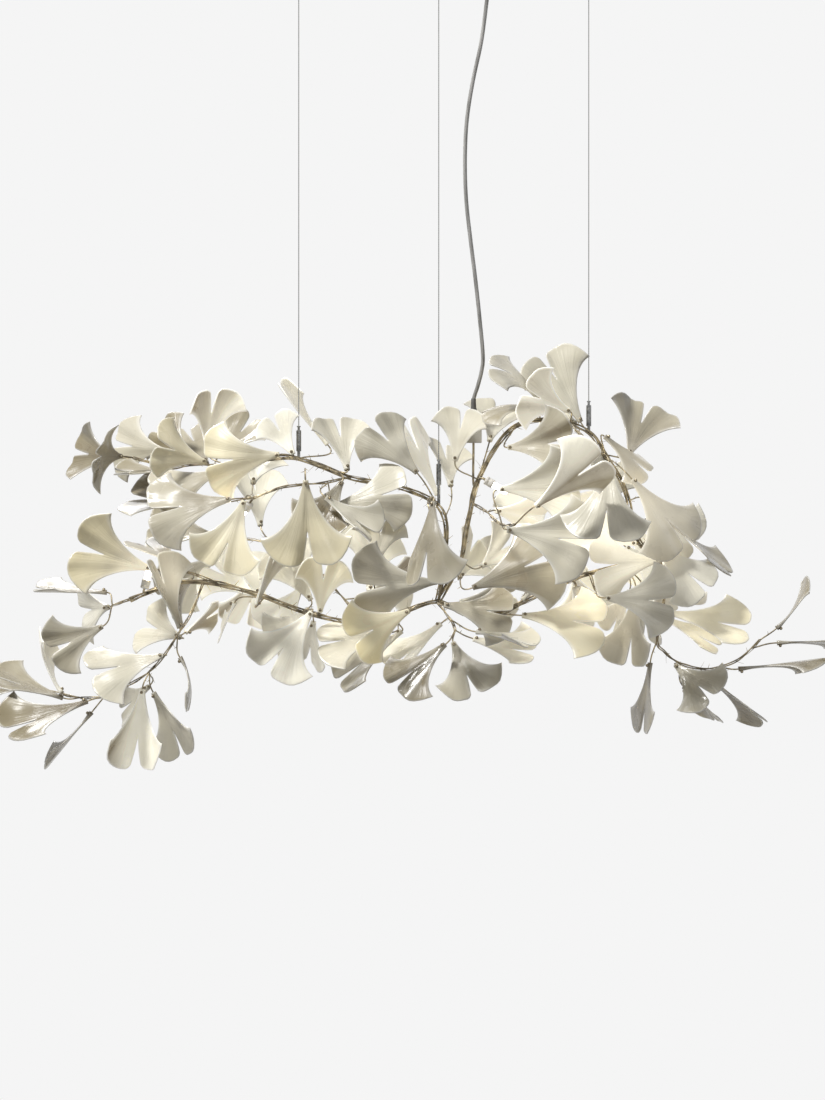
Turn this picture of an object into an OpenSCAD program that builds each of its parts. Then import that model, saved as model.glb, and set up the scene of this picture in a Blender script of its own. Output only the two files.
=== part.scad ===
// Branch chandelier: glazed fan-shaped leaves on thin metal branches, hung from three steel cables.
// X runs to the right, Y away from the viewer and Z up. The origin is on the ceiling, at the middle
// of the back of the ceiling plate.

/* [Ceiling plate and canopy] */
// How far the canopy cover reaches past the outermost cable
canopy_over = 28; // [24:1:80]
// Width of the canopy cover
canopy_wid = 110; // [90:5:160]
// Height of the canopy cover
canopy_h = 36; // [34:1:50]
// Sheet thickness of the canopy cover
canopy_wall = 1.5; // [1:0.1:3]
// Thickness of the ceiling plate
plate_t = 2; // [1.5:0.5:2.5]
// Play between the ceiling plate and the cover
plate_gap = 1; // [0.6:0.2:3]
// Distance between the two ceiling screws
ceiling_screw_pitch = 480; // [460:5:500]
// Bore of each ceiling screw hole
ceiling_screw_bore = 5.2; // [4:0.2:6.6]

/* [Hanging] */
// Height from the ceiling down to the middle of the leaf cloud
hang_drop = 990; // [985:5:1400]
// Diameter of a steel cable
cable_d = 1.5; // [1:0.1:1.8]
// Diameter of the ball end of a cable
ball_d = 5; // [4.6:0.2:5.4]
// Diameter of a cable gripper
gripper_d = 8; // [8:0.5:10]
// Length of the body of a cable gripper
gripper_len = 34; // [34:1:40]
// Travel of the release plunger
plunger_travel = 2.5; // [1.5:0.5:3]
// Diameter of the power cord
cord_d = 6.4; // [5.6:0.2:6.8]

/* [Branches] */
// Diameter of the main branches
main_d = 9; // [8:0.5:10]
// Diameter of the side branches
branch_d = 5; // [4:0.5:6]
// Width across the corners of a twig
twig_d = 2.8; // [2.2:0.2:3.2]
// Length of a thorn
thorn_len = 7; // [4:1:10]

/* [Leaves] */
// Length of a leaf of size 1, from neck to margin
leaf_len = 112; // [108:1:114]
// Width of a leaf of size 1 across its corners
leaf_wid = 120; // [110:1:122]
// How far the corners of a leaf of size 1 curl out of its face
leaf_curl = 9; // [0:1:12]
// Thickness of the blade
leaf_t = 2.4; // [2:0.1:2.6]
// Diameter of the neck
neck_d = 8.4; // [7.6:0.2:9]
// Depth of the socket in the neck
socket_depth = 9; // [6:1:11]
// Play between a twig and its socket
socket_gap = 0.25; // [0.15:0.05:0.4]
// Depth of the middle slit, as a share of the length
slit = 0.38; // [0.25:0.01:0.45]
// Head diameter of the screw that holds a leaf on its twig
leaf_screw_d = 4.2; // [3.4:0.2:5]

/* [Lamps] */
// Outer diameter of a lamp holder
holder_d = 14; // [13:0.5:17]
// Length of a lamp holder
holder_len = 15; // [14:1:20]
// Diameter of the frosted capsule of a bulb
bulb_d = 9.6; // [8:0.2:10]
// Length of a bulb outside its holder
bulb_len = 26; // [22:1:30]
// Play between a bulb and its holder
bulb_gap = 0.3; // [0.2:0.1:0.5]

/* [Hidden] */

// ---- Main branches: points in mm from the middle of the leaf cloud ----
HUB = [39, 0, -83];
RIGHT_JOINT = [396, 0, -13];
FRAME_RISER = [[40, 0, -80], [50, 0, -32], [54, 0, 16], [52, 0, 48], [40, 0, 72], [14, 0, 88], [-28, 0, 102],
    [-60, 0, 108], [-100, 0, 116], [-140, 0, 132], [-182, 0, 146], [-215, 6, 148], [-260, 14, 142],
    [-300, 20, 136]];
FRAME_ARC = [[43, 0, -80], [76, 0, -18], [86, 0, 32], [95, 0, 76], [105, 0, 112], [132, 0, 163], [164, 0, 198],
    [204, 0, 208], [252, 0, 202], [287, 0, 184], [308, 0, 152], [332, 0, 115], [345, 0, 80],
    [353, 0, 40], [366, 0, 8], [393, 0, -11]];
FRAME_LOWER = [[-452, 0, -80], [-410, 0, -62], [-366, 0, -51], [-311, 0, -54], [-236, 0, -75],
    [-172, 0, -99], [-79, 0, -118], [-20, 0, -101], HUB, [90, 0, -104], [137, 0, -102],
    [172, 0, -86], [212, 0, -67], [252, 0, -48], [284, 0, -37], [340, 0, -24], RIGHT_JOINT, [404, 0, -11]];

// ---- Side branches and leaves ----
// Each group is [points, stems as lists of point numbers, leaves].
// A leaf is [point that its twig starts at, neck x, y, z, heading, lean, roll, size, cup, bend].
// Heading turns in the front view from +X towards +Z, lean tips the leaf towards the viewer,
// roll turns it about its own length, and cup and bend are the angles it curves through.
UPPER_LEFT = [
    [[-300, 20, 136], [-356, 18, 136], [-391, 14, 131], [-420, 10, 140], [-448, 8, 148],
     [-128, 0, 127], [-132, -30, 130], [-160, -42, 136], [-182, 0, 146]],
    [[0, 1, 2, 3, 4], [5, 6, 7]],
    [
        [4, -478, 8, 148, 172, -46, 10, 0.9, 50, 0],
        [4, -466, -18, 150, 180, 62, -15, 1.0, 60, 20],
        [3, -399, 30, 160, 172, -35, 0, 0.95, -60, 0],
        [2, -398, 20, 128, 182, -3, 65, 0.72, 60, 0],
        [1, -361, 46, 152, 140, -38, 0, 0.8, 40, 0],
        [1, -332, -8, 140, 158, 35, 20, 0.9, -70, 0],
        [0, -308, -22, 126, 200, 10, 35, 1.0, -60, 0],
        [0, -333, 84, 140, 122, -45, 20, 0.9, 40, 0],
        [0, -329, 34, 158, 88, 8, 30, 0.95, 85, 20],
        [0, -314, 80, 150, 50, -20, -20, 0.85, 40, 0],
        [7, -212, -45, 152, 187, 8, -8, 1.08, -50, -15],
        [8, -137, 68, 170, 133, 0, 100, 1.15, 50, 10],
        [8, -190, -38, 152, 120, -4, 0, 0.65, 50, 0],
        [5, -104, -14, 128, 103, -30, 25, 0.9, 70, 0],
        [6, -112, -66, 108, 240, 20, 10, 0.9, 50, 10],
    ]];
MID_LEFT = [
    [[-100, 0, 116], [-135, -45, 108], [-170, -70, 104], [-212, -80, 98], [-252, -80, 82]],
    [[0, 1, 2, 3, 4]],
    [
        [4, -287, -95, 80, 189, 0, 32, 1.2, -60, 0],
        [4, -350, 30, 76, 175, -25, 50, 1.1, 60, 0],
        [4, -256, 30, 108, 83, -62, 0, 0.85, 50, 0],
        [4, -265, -120, 78, 249, 0, 0, 1.05, 35, 0],
        [2, -167, -180, 109, 272, 0, 0, 1.2, 30, 0],
        [1, -137, -105, 83, 322, 0, -50, 0.9, 110, 0],
        [1, -119, -60, 72, 12, 0, -15, 1.05, -60, 0],
    ]];
LOW_LEFT = [
    [[-311, 0, -54], [-350, -12, -38], [-385, -14, -28], [-410, 0, -62], [-446, 0, -77],
     [-480, 0, -88], [-236, 0, -75]],
    [[0, 1, 2], [4, 5]],
    [
        [2, -417, -35, -30, 163, 5, 0, 1.15, 30, 0],
        [5, -490, 15, -68, 177, 0, 76, 1.05, 40, 0],
        [5, -489, 30, -92, 188, -60, 0, 0.9, 50, 0],
        [5, -495, -22, -122, 206, 18, 0, 0.85, 40, -20],
        [1, -356, 30, -48, 210, -55, 0, 0.95, 50, 0],
        [2, -378, -5, -22, 150, -45, 60, 0.9, 60, 0],
        [6, -256, 22, -72, 146, -25, 0, 0.9, 50, 0],
        [6, -250, 55, -72, 108, -40, 30, 0.85, 50, 0],
        [6, -285, 15, -84, 245, -35, 84, 0.65, 30, 0],
        [6, -250, -25, -88, 69, 0, 70, 1.05, 50, 0],
    ]];
LEFT_TAIL = [
    [[-335, 0, -53], [-356, -20, -106], [-375, -30, -136], [-396, -30, -168], [-420, -25, -195],
     [-455, -20, -216], [-492, -15, -234], [-530, -10, -236]],
    [[0, 1, 2, 3, 4, 5, 6, 7]],
    [
        [7, -560, -15, -228, 130, -20, 88, 1.0, 45, 40],
        [7, -560, 12, -237, 163, 4, 68, 1.05, 80, 0],
        [7, -625, 78, -222, 176, -20, 30, 0.7, 60, 0],
        [6, -516, -64, -240, 200, 16, 60, 1.28, 70, 0],
        [6, -514, 10, -260, 231, 0, 88, 1.05, 30, 0],
        [4, -430, -40, -222, 265, 5, 10, 1.15, 200, 0],
        [4, -415, 5, -228, 301, -5, 50, 1.02, 60, 15],
        [4, -425, 45, -220, 222, -40, 45, 0.75, 50, 0],
        [3, -396, -62, -168, 193, 12, 35, 1.1, -60, 0],
        [2, -371, -25, -171, 305, 0, 88, 0.82, 40, 55],
        [2, -370, -48, -124, 110, 5, 60, 1.1, 90, 0],
        [2, -374, 35, -140, 162, -48, 10, 0.9, 50, 0],
        [2, -364, 24, -132, 35, -30, 60, 0.65, 50, 0],
    ]];
LOWER_MIDDLE = [
    [[-79, 0, -118], [-172, 0, -99], [-20, 0, -101], [-60, -60, -102], [-172, -35, -97],
     [-22, 20, -118], [-50, 0, -110]],
    [[0, 3], [1, 4], [2, 5]],
    [
        [2, -6, -104, -96, 208, 12, 0, 0.95, -50, 0],
        [5, -36, -32, -132, 189, 0, 53, 1.05, -60, 0],
        [5, -17, 26, -130, 219, -4, 62, 1.2, 60, 0],
        [1, -160, 55, -116, 262, -40, 30, 0.8, 60, 0],
        [4, -160, -60, -98, 232, 5, 0, 1.08, 35, 0],
        [1, -168, 45, -95, 228, -30, 30, 0.9, 50, 0],
        [1, -163, 22, -80, 122, -20, 0, 0.95, 50, 0],
        [4, -147, -50, -98, 84, 25, 0, 0.85, 60, 0],
        [6, -70, 76, -66, 85, -20, 20, 0.95, 40, 0],
        [3, -58, -62, -24, 82, -20, 0, 0.75, -50, 0],
    ]];
TOP = [
    [[40, 0, 72], [52, 0, 48], [105, 0, 112], [164, 0, 198], [204, 0, 208], [252, 0, 202],
     [287, 0, 184], [24, -60, 76], [30, -120, 84]],
    [[0, 7, 8]],
    [
        [0, 7, -34, 123, 131, 14, 10, 1.0, -90, -20],
        [0, 40, 26, 88, 113, -4, 62, 1.2, -50, 0],
        [1, 62, 88, 104, 100, -40, 40, 0.85, 50, 0],
        [2, 68, -8, 142, 81, 0, -15, 0.77, 75, 0],
        [2, 124, 28, 176, 75, -50, 0, 0.9, 60, 0],
        [4, 210, -25, 218, 152, 0, 75, 0.95, -60, -60],
        [3, 153, -45, 163, 5, 30, 0, 1.05, 50, 0],
        [6, 270, 22, 205, 118, 0, 30, 1.15, 30, -10],
        [5, 262, 62, 205, 150, -50, 0, 0.65, 50, 0],
        [5, 250, -20, 222, 158, 35, 0, 0.9, 50, 0],
        [4, 201, -18, 237, 116, 26, 76, 0.95, -40, -60],
        [8, 33, -150, 76, 262, 12, 40, 1.2, -80, 0],
        [7, 39, -88, -50, 185, 0, -15, 1.2, -60, 0],
    ]];
HUB_LEAVES = [
    [HUB, [62, -20, -112], [68, -30, -128], [76, 0, -18], [90, 20, -104]],
    [[0, 1, 2]],
    [
        [0, 50, -38, -88, 352, 0, -38, 1.0, -60, 0],
        [0, 76, 42, -84, 8, -6, 40, 0.85, 50, 0],
        [3, 95, -75, -60, 22, 0, -15, 1.3, -60, 0],
        [3, 76, 45, -44, 68, -40, 40, 0.85, 50, 0],
        [3, 112, 60, -26, 40, -45, 10, 0.85, 40, 0],
        [1, 102, -60, -130, 353, 28, -80, 0.9, 60, -15],
        [2, 97, 10, -142, 342, 0, -48, 0.92, 70, 15],
        [2, 65, -24, -148, 293, 32, 0, 0.95, 40, 0],
        [2, 52, -60, -150, 219, 10, 42, 0.98, -60, 0],
        [1, 46, 35, -118, 222, 0, 55, 1.0, 60, 0],
    ]];
RIGHT = [
    [[95, 0, 76], [308, 0, 152], [332, 0, 115], [345, 0, 80], [353, 0, 40], [366, 0, 8], RIGHT_JOINT,
     [118, -60, 60], [140, -130, 40], [160, -200, 40], [262, -60, 188], [288, -120, 160],
     [252, 0, 202]],
    [[0, 7, 8, 9], [12, 10, 11]],
    [
        [8, 137, -112, 96, 4, 4, 10, 1.15, 60, 0],
        [7, 132, -56, 63, 350, -40, 0, 1.0, 60, 0],
        [9, 190, -238, 68, 36, 5, 45, 1.2, -60, 0],
        [1, 346, 5, 152, 67, -42, 0, 1.1, 40, 0],
        [1, 306, -32, 181, 321, -4, -60, 0.85, -60, 0],
        [1, 348, -72, 112, 311, 0, -40, 1.25, -70, 0],
        [3, 378, 45, 78, 318, -15, -30, 1.0, 50, 0],
        [4, 405, 32, 50, 320, 0, -84, 1.25, 30, 0],
        [5, 385, -66, 6, 320, 5, -30, 1.0, -50, 0],
        [11, 308, -150, 136, 266, 25, 0, 1.2, -60, 0],
        [5, 356, -22, 10, 162, 13, 0, 1.1, 50, 0],
        [8, 148, -150, 32, 350, 0, 0, 1.2, 40, 0],
    ]];
LOW_RIGHT = [
    [[137, 0, -102], [172, 0, -86], [212, 0, -67], [252, 0, -48], [284, 0, -37], [340, 0, -24],
     RIGHT_JOINT, [290, -40, -64]],
    [[4, 7]],
    [
        [0, 174, -50, -104, 356, 4, -40, 1.2, -35, -10],
        [1, 175, -30, -80, 43, -12, 75, 0.9, 50, 0],
        [6, 392, -64, -16, 186, 12, 12, 1.0, -50, 0],
        [7, 306, -94, -76, 357, 14, 0, 1.0, 50, 0],
        [5, 356, -25, -66, 265, 0, 50, 1.08, 70, 0],
        [5, 348, 30, -66, 247, -30, 50, 0.8, 60, 0],
        [5, 372, 34, -66, 275, -35, 40, 0.85, 60, 0],
        [6, 400, 30, -22, 298, -40, 20, 0.95, 50, 0],
    ]];
RIGHT_TAIL = [
    [RIGHT_JOINT, [402, -5, -80], [391, -5, -144], [404, 0, -163], [428, 0, -181], [460, 0, -190],
     [492, 0, -187], [521, 0, -176], [543, 0, -157], [556, 0, -144]],
    [[0, 1, 2, 3, 4, 5, 6, 7, 8, 9]],
    [
        [1, 408, -30, -100, 349, 0, -50, 1.18, 30, 0],
        [1, 404, 25, -108, 331, 0, -60, 0.92, 60, 0],
        [2, 380, -8, -180, 263, 0, 74, 1.02, 40, 0],
        [4, 420, -22, -184, 317, 38, 0, 0.88, 35, 0],
        [4, 436, 32, -220, 315, -20, 80, 0.75, 50, 0],
        [5, 484, 40, -212, 322, 0, 80, 0.95, 50, 0],
        [6, 520, -20, -190, 7, 0, 86, 1.28, 30, 0],
        [8, 585, 22, -149, 2, 0, 86, 1.08, 30, 0],
        [9, 582, -10, -125, 40, -10, 84, 0.85, 50, -42],
    ]];
BACK_LEFT = [
    [[-79, 0, -118], [-110, 75, -80], [-160, 138, -30], [-230, 178, 10], [-300, 196, 20]],
    [[0, 1, 2, 3, 4]],
    [
        [4, -330, 212, 25, 170, -15, 10, 1.0, 50, 0],
        [4, -320, 192, -10, 215, 10, -30, 1.0, 60, 0],
        [3, -250, 205, 40, 100, -30, 30, 1.0, 50, 0],
        [3, -245, 168, -25, 250, -20, -20, 1.0, 60, 0],
        [2, -150, 166, -10, 60, -40, 20, 1.0, 60, 0],
        [2, -180, 132, -60, 235, -30, 20, 1.0, 50, 0],
        [1, -80, 108, -75, 20, -40, 30, 1.0, 60, 0],
    ]];
BACK_RIGHT = [
    [[172, 0, -86], [190, 75, -60], [230, 138, -10], [290, 178, 30], [340, 196, 40]],
    [[0, 1, 2, 3, 4]],
    [
        [4, 362, 212, 45, 300, -15, 10, 1.0, 50, 0],
        [4, 350, 192, 5, 320, 10, -30, 1.0, 60, 0],
        [3, 310, 205, 60, 75, -30, 30, 1.0, 50, 0],
        [3, 270, 172, -5, 280, -20, -20, 1.0, 60, 0],
        [2, 210, 166, 20, 110, -40, 20, 1.0, 60, 0],
        [2, 260, 132, -40, 300, -30, 20, 1.0, 50, 0],
        [1, 160, 108, -50, 150, -40, 30, 1.0, 60, 0],
    ]];
GROUPS = [UPPER_LEFT, MID_LEFT, LOW_LEFT, LEFT_TAIL, LOWER_MIDDLE, TOP, HUB_LEAVES, RIGHT, LOW_RIGHT,
    RIGHT_TAIL, BACK_LEFT, BACK_RIGHT];

// ---- Lamps, grippers and cord ----
// A lamp is [start of its arm, middle of the back of its holder, heading, lean].
LAMPS = [
    [[105, 0, 112], [116, -20, 112], 330, 0],
    [[353, 0, 40], [343, -14, 42], 175, 5],
    [[-252, -80, 82], [-258, -60, 75], 235, -30],
    [[-424, 0, -68], [-428, -18, -62], 75, 0],
    [[-79, 0, -118], [-66, 8, -108], 80, -5],
    [[252, 0, -48], [262, 12, -58], 285, -10],
];
// A gripper is [x of its cable, height of the branch under it, height of the bottom of its body].
GRIPPERS = [[-182, 146, 158], [42, 70, 104], [282, 187, 198]];
canopy_len = 2 * (GRIPPERS[2][0] + canopy_over);
CORD_X = 122;
BOX = [98, 30, 172];
BOX_SIZE = [26, 22, 42];
CAP_T = 3;
TERMINAL_H = 7.7;
CORD = [[CORD_X, 0, hang_drop - 20], [CORD_X, 0, hang_drop - 80], [119, 0, 880], [110, 0, 813],
    [97, 0, 752], [87, 0, 688], [84, 2, 624], [86, 4, 560], [93, 6, 496], [101, 10, 432],
    [108, 14, 368], [113, 20, 312], [111, 24, 288], [105, 28, 264],
    [98.6, 30, 244], [98, 30, 232]];

// ---- Vectors and frames ----
function unit(v) = v / norm(v);
function sum_of(list, i = 0) = i >= len(list) ? 0 : list[i] + sum_of(list, i + 1);
function flat(lists) = [for (list = lists) each list];

// Directions of a leaf: along its length, across it, and out of its face
function turned(v, heading, lean) =
    let (x = v.x * cos(lean) + v.y * sin(lean), y = v.y * cos(lean) - v.x * sin(lean))
    [x * cos(heading) - v.z * sin(heading), y, x * sin(heading) + v.z * cos(heading)];
function leaf_axes(leaf) =
    let (heading = leaf[4], lean = leaf[5], roll = leaf[6])
    [
        turned([1, 0, 0], heading, lean),
        turned([0, -sin(roll), cos(roll)], heading, lean),
        turned([0, -cos(roll), -sin(roll)], heading, lean),
    ];
function neck(leaf) = [leaf[1], leaf[2], leaf[3]];
function placed(p, leaf, axes) = neck(leaf) + p.x * axes[0] + p.y * axes[1] + p.z * axes[2];

// ---- Tubes swept along a list of points ----
function tangent(path, i) =
    let (n = len(path) - 1)
    i == 0 ? unit(path[1] - path[0])
    : i == n ? unit(path[n] - path[n - 1])
    : unit(unit(path[i] - path[i - 1]) + unit(path[i + 1] - path[i]));
function ring(c, d, across, r, sides) =
    let (u = unit(across - (across * d) * d), v = cross(d, u))
    [for (k = [0:sides - 1]) c + r * (cos(360 * k / sides) * u + sin(360 * k / sides) * v)];
function tube_points(path, radii, across, sides) =
    flat([for (i = [0:len(path) - 1]) ring(path[i], tangent(path, i), across, radii[i], sides)]);
function tube_faces(rings, sides) = [
    for (k = [1:sides - 2]) [0, k, k + 1],
    for (i = [0:rings - 2], k = [0:sides - 1])
        let (a = i * sides + k, b = i * sides + (k + 1) % sides)
        each [[a, a + sides, b + sides], [a, b + sides, b]],
    for (k = [1:sides - 2])
        let (first = (rings - 1) * sides)
        [first, first + k + 1, first + k],
];
// A smooth line through the points, with n steps between each two
function between(a, b, c, d, t) =
    0.5 * (2 * b + (c - a) * t + (2 * a - 5 * b + 4 * c - d) * t * t + (3 * b - a - 3 * c + d) * t * t * t);
function smooth(path, n) = [
    for (i = [0:len(path) - 2], k = [0:n - 1])
        let (last = len(path) - 1)
        between(path[max(i - 1, 0)], path[i], path[i + 1], path[min(i + 2, last)], k / n),
    path[len(path) - 1],
];
function even(n, value) = [for (i = [1:n]) value];
function tapered(n, from, to) = [for (i = [0:n - 1]) from + (to - from) * i / (n - 1)];
module tube(path, radii, across = [0, 1, 0], sides = 6) {
    polyhedron(tube_points(path, radii, across, sides), tube_faces(len(path), sides));
}
module main_tube(path) tube(path, even(len(path), main_d / 2), [0, 1, 0], 8);

// ---- Leaf ----
// A ring round the blade has seven points on its face and three on its back.
FACE_SIDES = [-1, -0.6, -0.1, 0, 0.1, 0.6, 1];
BACK_SIDES = [0.6, 0, -0.6];
STATIONS = [0, 0.22, 0.6, 1];
RING = len(FACE_SIDES) + len(BACK_SIDES);
FLARE = 1.45;
CORNER_DROP = 0.34;

function margin_at(side) =
    side == 0 ? 1 - slit : 1 - CORNER_DROP * pow(abs(side), 5) - 0.03 * pow(1 - abs(side), 4);
function half_width(u, size) = neck_d / 2 + (size * leaf_wid / 2 - neck_d / 2) * pow(u, FLARE);
function half_thick(u, side) =
    let (round_part = max(0, 1 - u / 0.3))
    leaf_t / 2 + (neck_d / 2 - leaf_t / 2) * round_part * sqrt(1 - side * side);
// Each lobe has a curl of its own, up or down.
function curl(leaf, side) =
    leaf_curl * leaf[7] * side * side
    * sin(side > 0 ? 7 * leaf[1] + 11 * leaf[3] : 5 * leaf[1] - 13 * leaf[3]);
// A point of the blade: u runs along it from 0 to 1, side across it from -1 to 1.
function blade_point(leaf, u, side, face) =
    let (
        size = leaf[7], cup = leaf[8], bend = leaf[9],
        length = leaf_len * size,
        s = u * (1 + (margin_at(side) - 1) * u * u) * length,
        turn = bend * s / length,
        arc = cup * (0.3 + 0.7 * u),
        radius = half_width(u, size) / (arc / 2 * PI / 180),
        a = side * arc / 2,
        h = (abs(side) == 1 ? 0 : face * half_thick(u, side)) + curl(leaf, side) * pow(u, 3),
        y = (radius - h) * sin(a),
        z = radius * (1 - cos(a)) + h * cos(a),
        spine_r = bend == 0 ? 0 : length / (bend * PI / 180),
        cx = bend == 0 ? s : spine_r * sin(turn),
        cz = bend == 0 ? 0 : spine_r * (1 - cos(turn))
    )
    [cx - z * sin(turn), y, cz + z * cos(turn)];
function socket_r() = twig_d / 2 + socket_gap;
function socket_ring(x) = let (r = socket_r()) [[x, -r, 0], [x, 0, r], [x, r, 0], [x, 0, -r]];
function leaf_points(leaf) =
    let (
        axes = leaf_axes(leaf),
        own = [
            for (u = STATIONS) each [
                for (side = FACE_SIDES) blade_point(leaf, u, side, 1),
                for (side = BACK_SIDES) blade_point(leaf, u, side, -1),
            ],
            each socket_ring(0),
            each socket_ring(socket_depth),
        ]
    )
    [for (p = own) placed(p, leaf, axes)];
LEAF_FACES = let (
    tip = (len(STATIONS) - 1) * RING,
    mouth = len(STATIONS) * RING,
    deep = mouth + 4,
    l = mouth, t = mouth + 1, r = mouth + 2, b = mouth + 3
) [
    for (i = [0:len(STATIONS) - 2], c = [0:RING - 1])
        let (p = i * RING + c, q = i * RING + (c + 1) % RING)
        each [[p, q, q + RING], [p, q + RING, p + RING]],
    for (f = [[0, 1, 9], [1, 8, 9], [1, 2, 8], [2, 3, 8], [3, 4, 8], [4, 5, 8], [5, 7, 8], [5, 6, 7]])
        [tip + f[0], tip + f[1], tip + f[2]],
    [0, 9, l], [1, 0, l], [2, 1, t], [3, 2, t], [4, 3, t], [5, 4, t], [6, 5, r], [7, 6, r],
    [8, 7, b], [9, 8, b], [t, 1, l], [r, 5, t], [b, 7, r], [l, 9, b],
    for (k = [0:3])
        let (n = (k + 1) % 4)
        each [[mouth + k, deep + k, deep + n], [mouth + k, deep + n, mouth + n]],
    [deep + 3, deep + 2, deep + 1], [deep + 3, deep + 1, deep],
];
LEAF_POINTS = len(STATIONS) * RING + 8;
module leaves(group) {
    rows = group[2];
    polyhedron(
        flat([for (leaf = rows) leaf_points(leaf)]),
        [for (i = [0:len(rows) - 1], f = LEAF_FACES) [for (v = f) v + i * LEAF_POINTS]]
    );
}

// ---- Twigs, thorns and branches ----
function twig_path(root, leaf) =
    let (
        axis = leaf_axes(leaf)[0],
        n = neck(leaf),
        reach = norm(n - root),
        c1 = root + 0.35 * (n - root),
        c2 = n - 0.4 * reach * axis
    )
    [
        for (t = [0, 0.5])
            pow(1 - t, 3) * root + 3 * t * pow(1 - t, 2) * c1 + 3 * t * t * (1 - t) * c2 + t * t * t * n,
        n - 3 * axis,
        n + (socket_depth - 0.4) * axis,
    ];
module twig(root, leaf) tube(twig_path(root, leaf), even(4, twig_d / 2), leaf_axes(leaf)[1], 4);
module thorn(from, to, turn) {
    d = unit(to - from);
    side = unit(cross(d, [cos(turn), 0.7, sin(turn)]));
    mid = (from + to) / 2;
    across = cross(d, side);
    hull() polyhedron(
        [mid - 1.6 * d, mid + 1.6 * d + across, mid + 1.2 * d - across, mid + 2.5 * d + thorn_len * side],
        [[0, 1, 2], [0, 3, 1], [1, 3, 2], [2, 3, 0]]
    );
}
module branch(group) {
    points = group[0];
    rows = group[2];
    // Each branch has eight thorns, on its stems first.
    left_over = 8 + len(group[1]) - sum_of([for (stem = group[1]) len(stem)]);
    difference() {
        union() {
            for (stem = group[1]) {
                path = [for (i = stem) points[i]];
                tube(path, tapered(len(path), branch_d / 2, branch_d / 2 * 0.7), [0.3, 0.9, 0.2], 5);
                for (i = [1:len(path) - 1]) thorn(path[i - 1], path[i], 70 * i);
            }
            for (leaf = rows) twig(points[leaf[0]], leaf);
            for (i = [0:len(rows) - 1]) {
                path = twig_path(points[rows[i][0]], rows[i]);
                if (i < left_over) thorn(path[1], path[2], 110 * i);
            }
        }
        main_tube(FRAME_RISER);
        main_tube(FRAME_ARC);
        main_tube(FRAME_LOWER);
    }
}
// The screws stand on the necks and reach down to the twigs.
module leaf_screws() {
    for (group = GROUPS, leaf = group[2]) {
        axes = leaf_axes(leaf);
        foot = neck(leaf) + 5 * axes[0];
        low = twig_d / 2 + 0.3;
        translate(foot + low * axes[2]) rotate([0, acos(axes[2].z), atan2(axes[2].y, axes[2].x)])
            cylinder(d = leaf_screw_d, h = neck_d / 2 + 1.4 - low, $fn = 6);
    }
}

// ---- Main branches ----
module frame_lower() main_tube(FRAME_LOWER);
module frame_riser() difference() {
    main_tube(FRAME_RISER);
    main_tube(FRAME_LOWER);
}
module frame_arc() difference() {
    main_tube(FRAME_ARC);
    main_tube(FRAME_LOWER);
    main_tube(FRAME_RISER);
}

// ---- Lamps ----
BORE_D = bulb_d - 0.6;
BASE_DEPTH = holder_len - 5;
function lamp_axis(lamp) = turned([1, 0, 0], lamp[2], lamp[3]);
module at_lamp(lamp) {
    d = lamp_axis(lamp);
    translate(lamp[1]) rotate([0, acos(d.z), atan2(d.y, d.x)]) children();
}
module lamp_arm(lamp) {
    back = lamp[1];
    axis = lamp_axis(lamp);
    near = back - 5 * axis;
    tube([lamp[0], (lamp[0] + near) / 2 - 2 * axis, near, back], even(4, 2.2), [0.2, 0.9, 0.3], 6);
}
module lamp_arms() difference() {
    union() {
        for (lamp = LAMPS) lamp_arm(lamp);
        tube([[105, 0, 112], [98, 24, 105], BOX - [0, 0, 8], BOX], even(4, 2.2), [0, 1, 0.3], 6);
    }
    main_tube(FRAME_ARC);
    main_tube(FRAME_LOWER);
    branch(MID_LEFT);
}
module lamp_holders() {
    for (lamp = LAMPS) at_lamp(lamp) difference() {
        cylinder(d = holder_d, h = holder_len);
        translate([0, 0, holder_len - BASE_DEPTH]) cylinder(d = BORE_D, h = BASE_DEPTH + 1);
        for (x = [-2, 2]) translate([x, 0, 1]) cylinder(d = 1.6, h = holder_len);
    }
}
module bulb(lamp) at_lamp(lamp) {
    r = bulb_d / 2;
    translate([0, 0, holder_len - BASE_DEPTH + bulb_gap])
        cylinder(d = BORE_D - 2 * bulb_gap, h = BASE_DEPTH - bulb_gap);
    for (x = [-2, 2]) translate([x, 0, 1.5]) cylinder(d = 1.2, h = holder_len - BASE_DEPTH);
    translate([0, 0, holder_len]) cylinder(r = r, h = bulb_len - r);
    translate([0, 0, holder_len + bulb_len - r]) sphere(r = r);
}

// ---- Cables and grippers ----
PIVOT_Z = -8;
STUD_D = 5;
THREAD = 12;
CHAMBER_R = 2.6;
BALL_R = 0.8;
BALLS_Z = gripper_len - 7;
FLANGE_Z = gripper_len - 10.5;
PLUNGER_TOP = gripper_len + plunger_travel + 4;
module at_gripper(k) translate([GRIPPERS[k][0], 0, GRIPPERS[k][2]]) children();
module cable(k) {
    top = hang_drop + PIVOT_Z;
    bottom = GRIPPERS[k][2] + THREAD + 1.5;
    translate([GRIPPERS[k][0], 0, bottom]) cylinder(d = cable_d, h = top - bottom);
    translate([GRIPPERS[k][0], 0, top]) sphere(d = ball_d);
}
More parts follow.
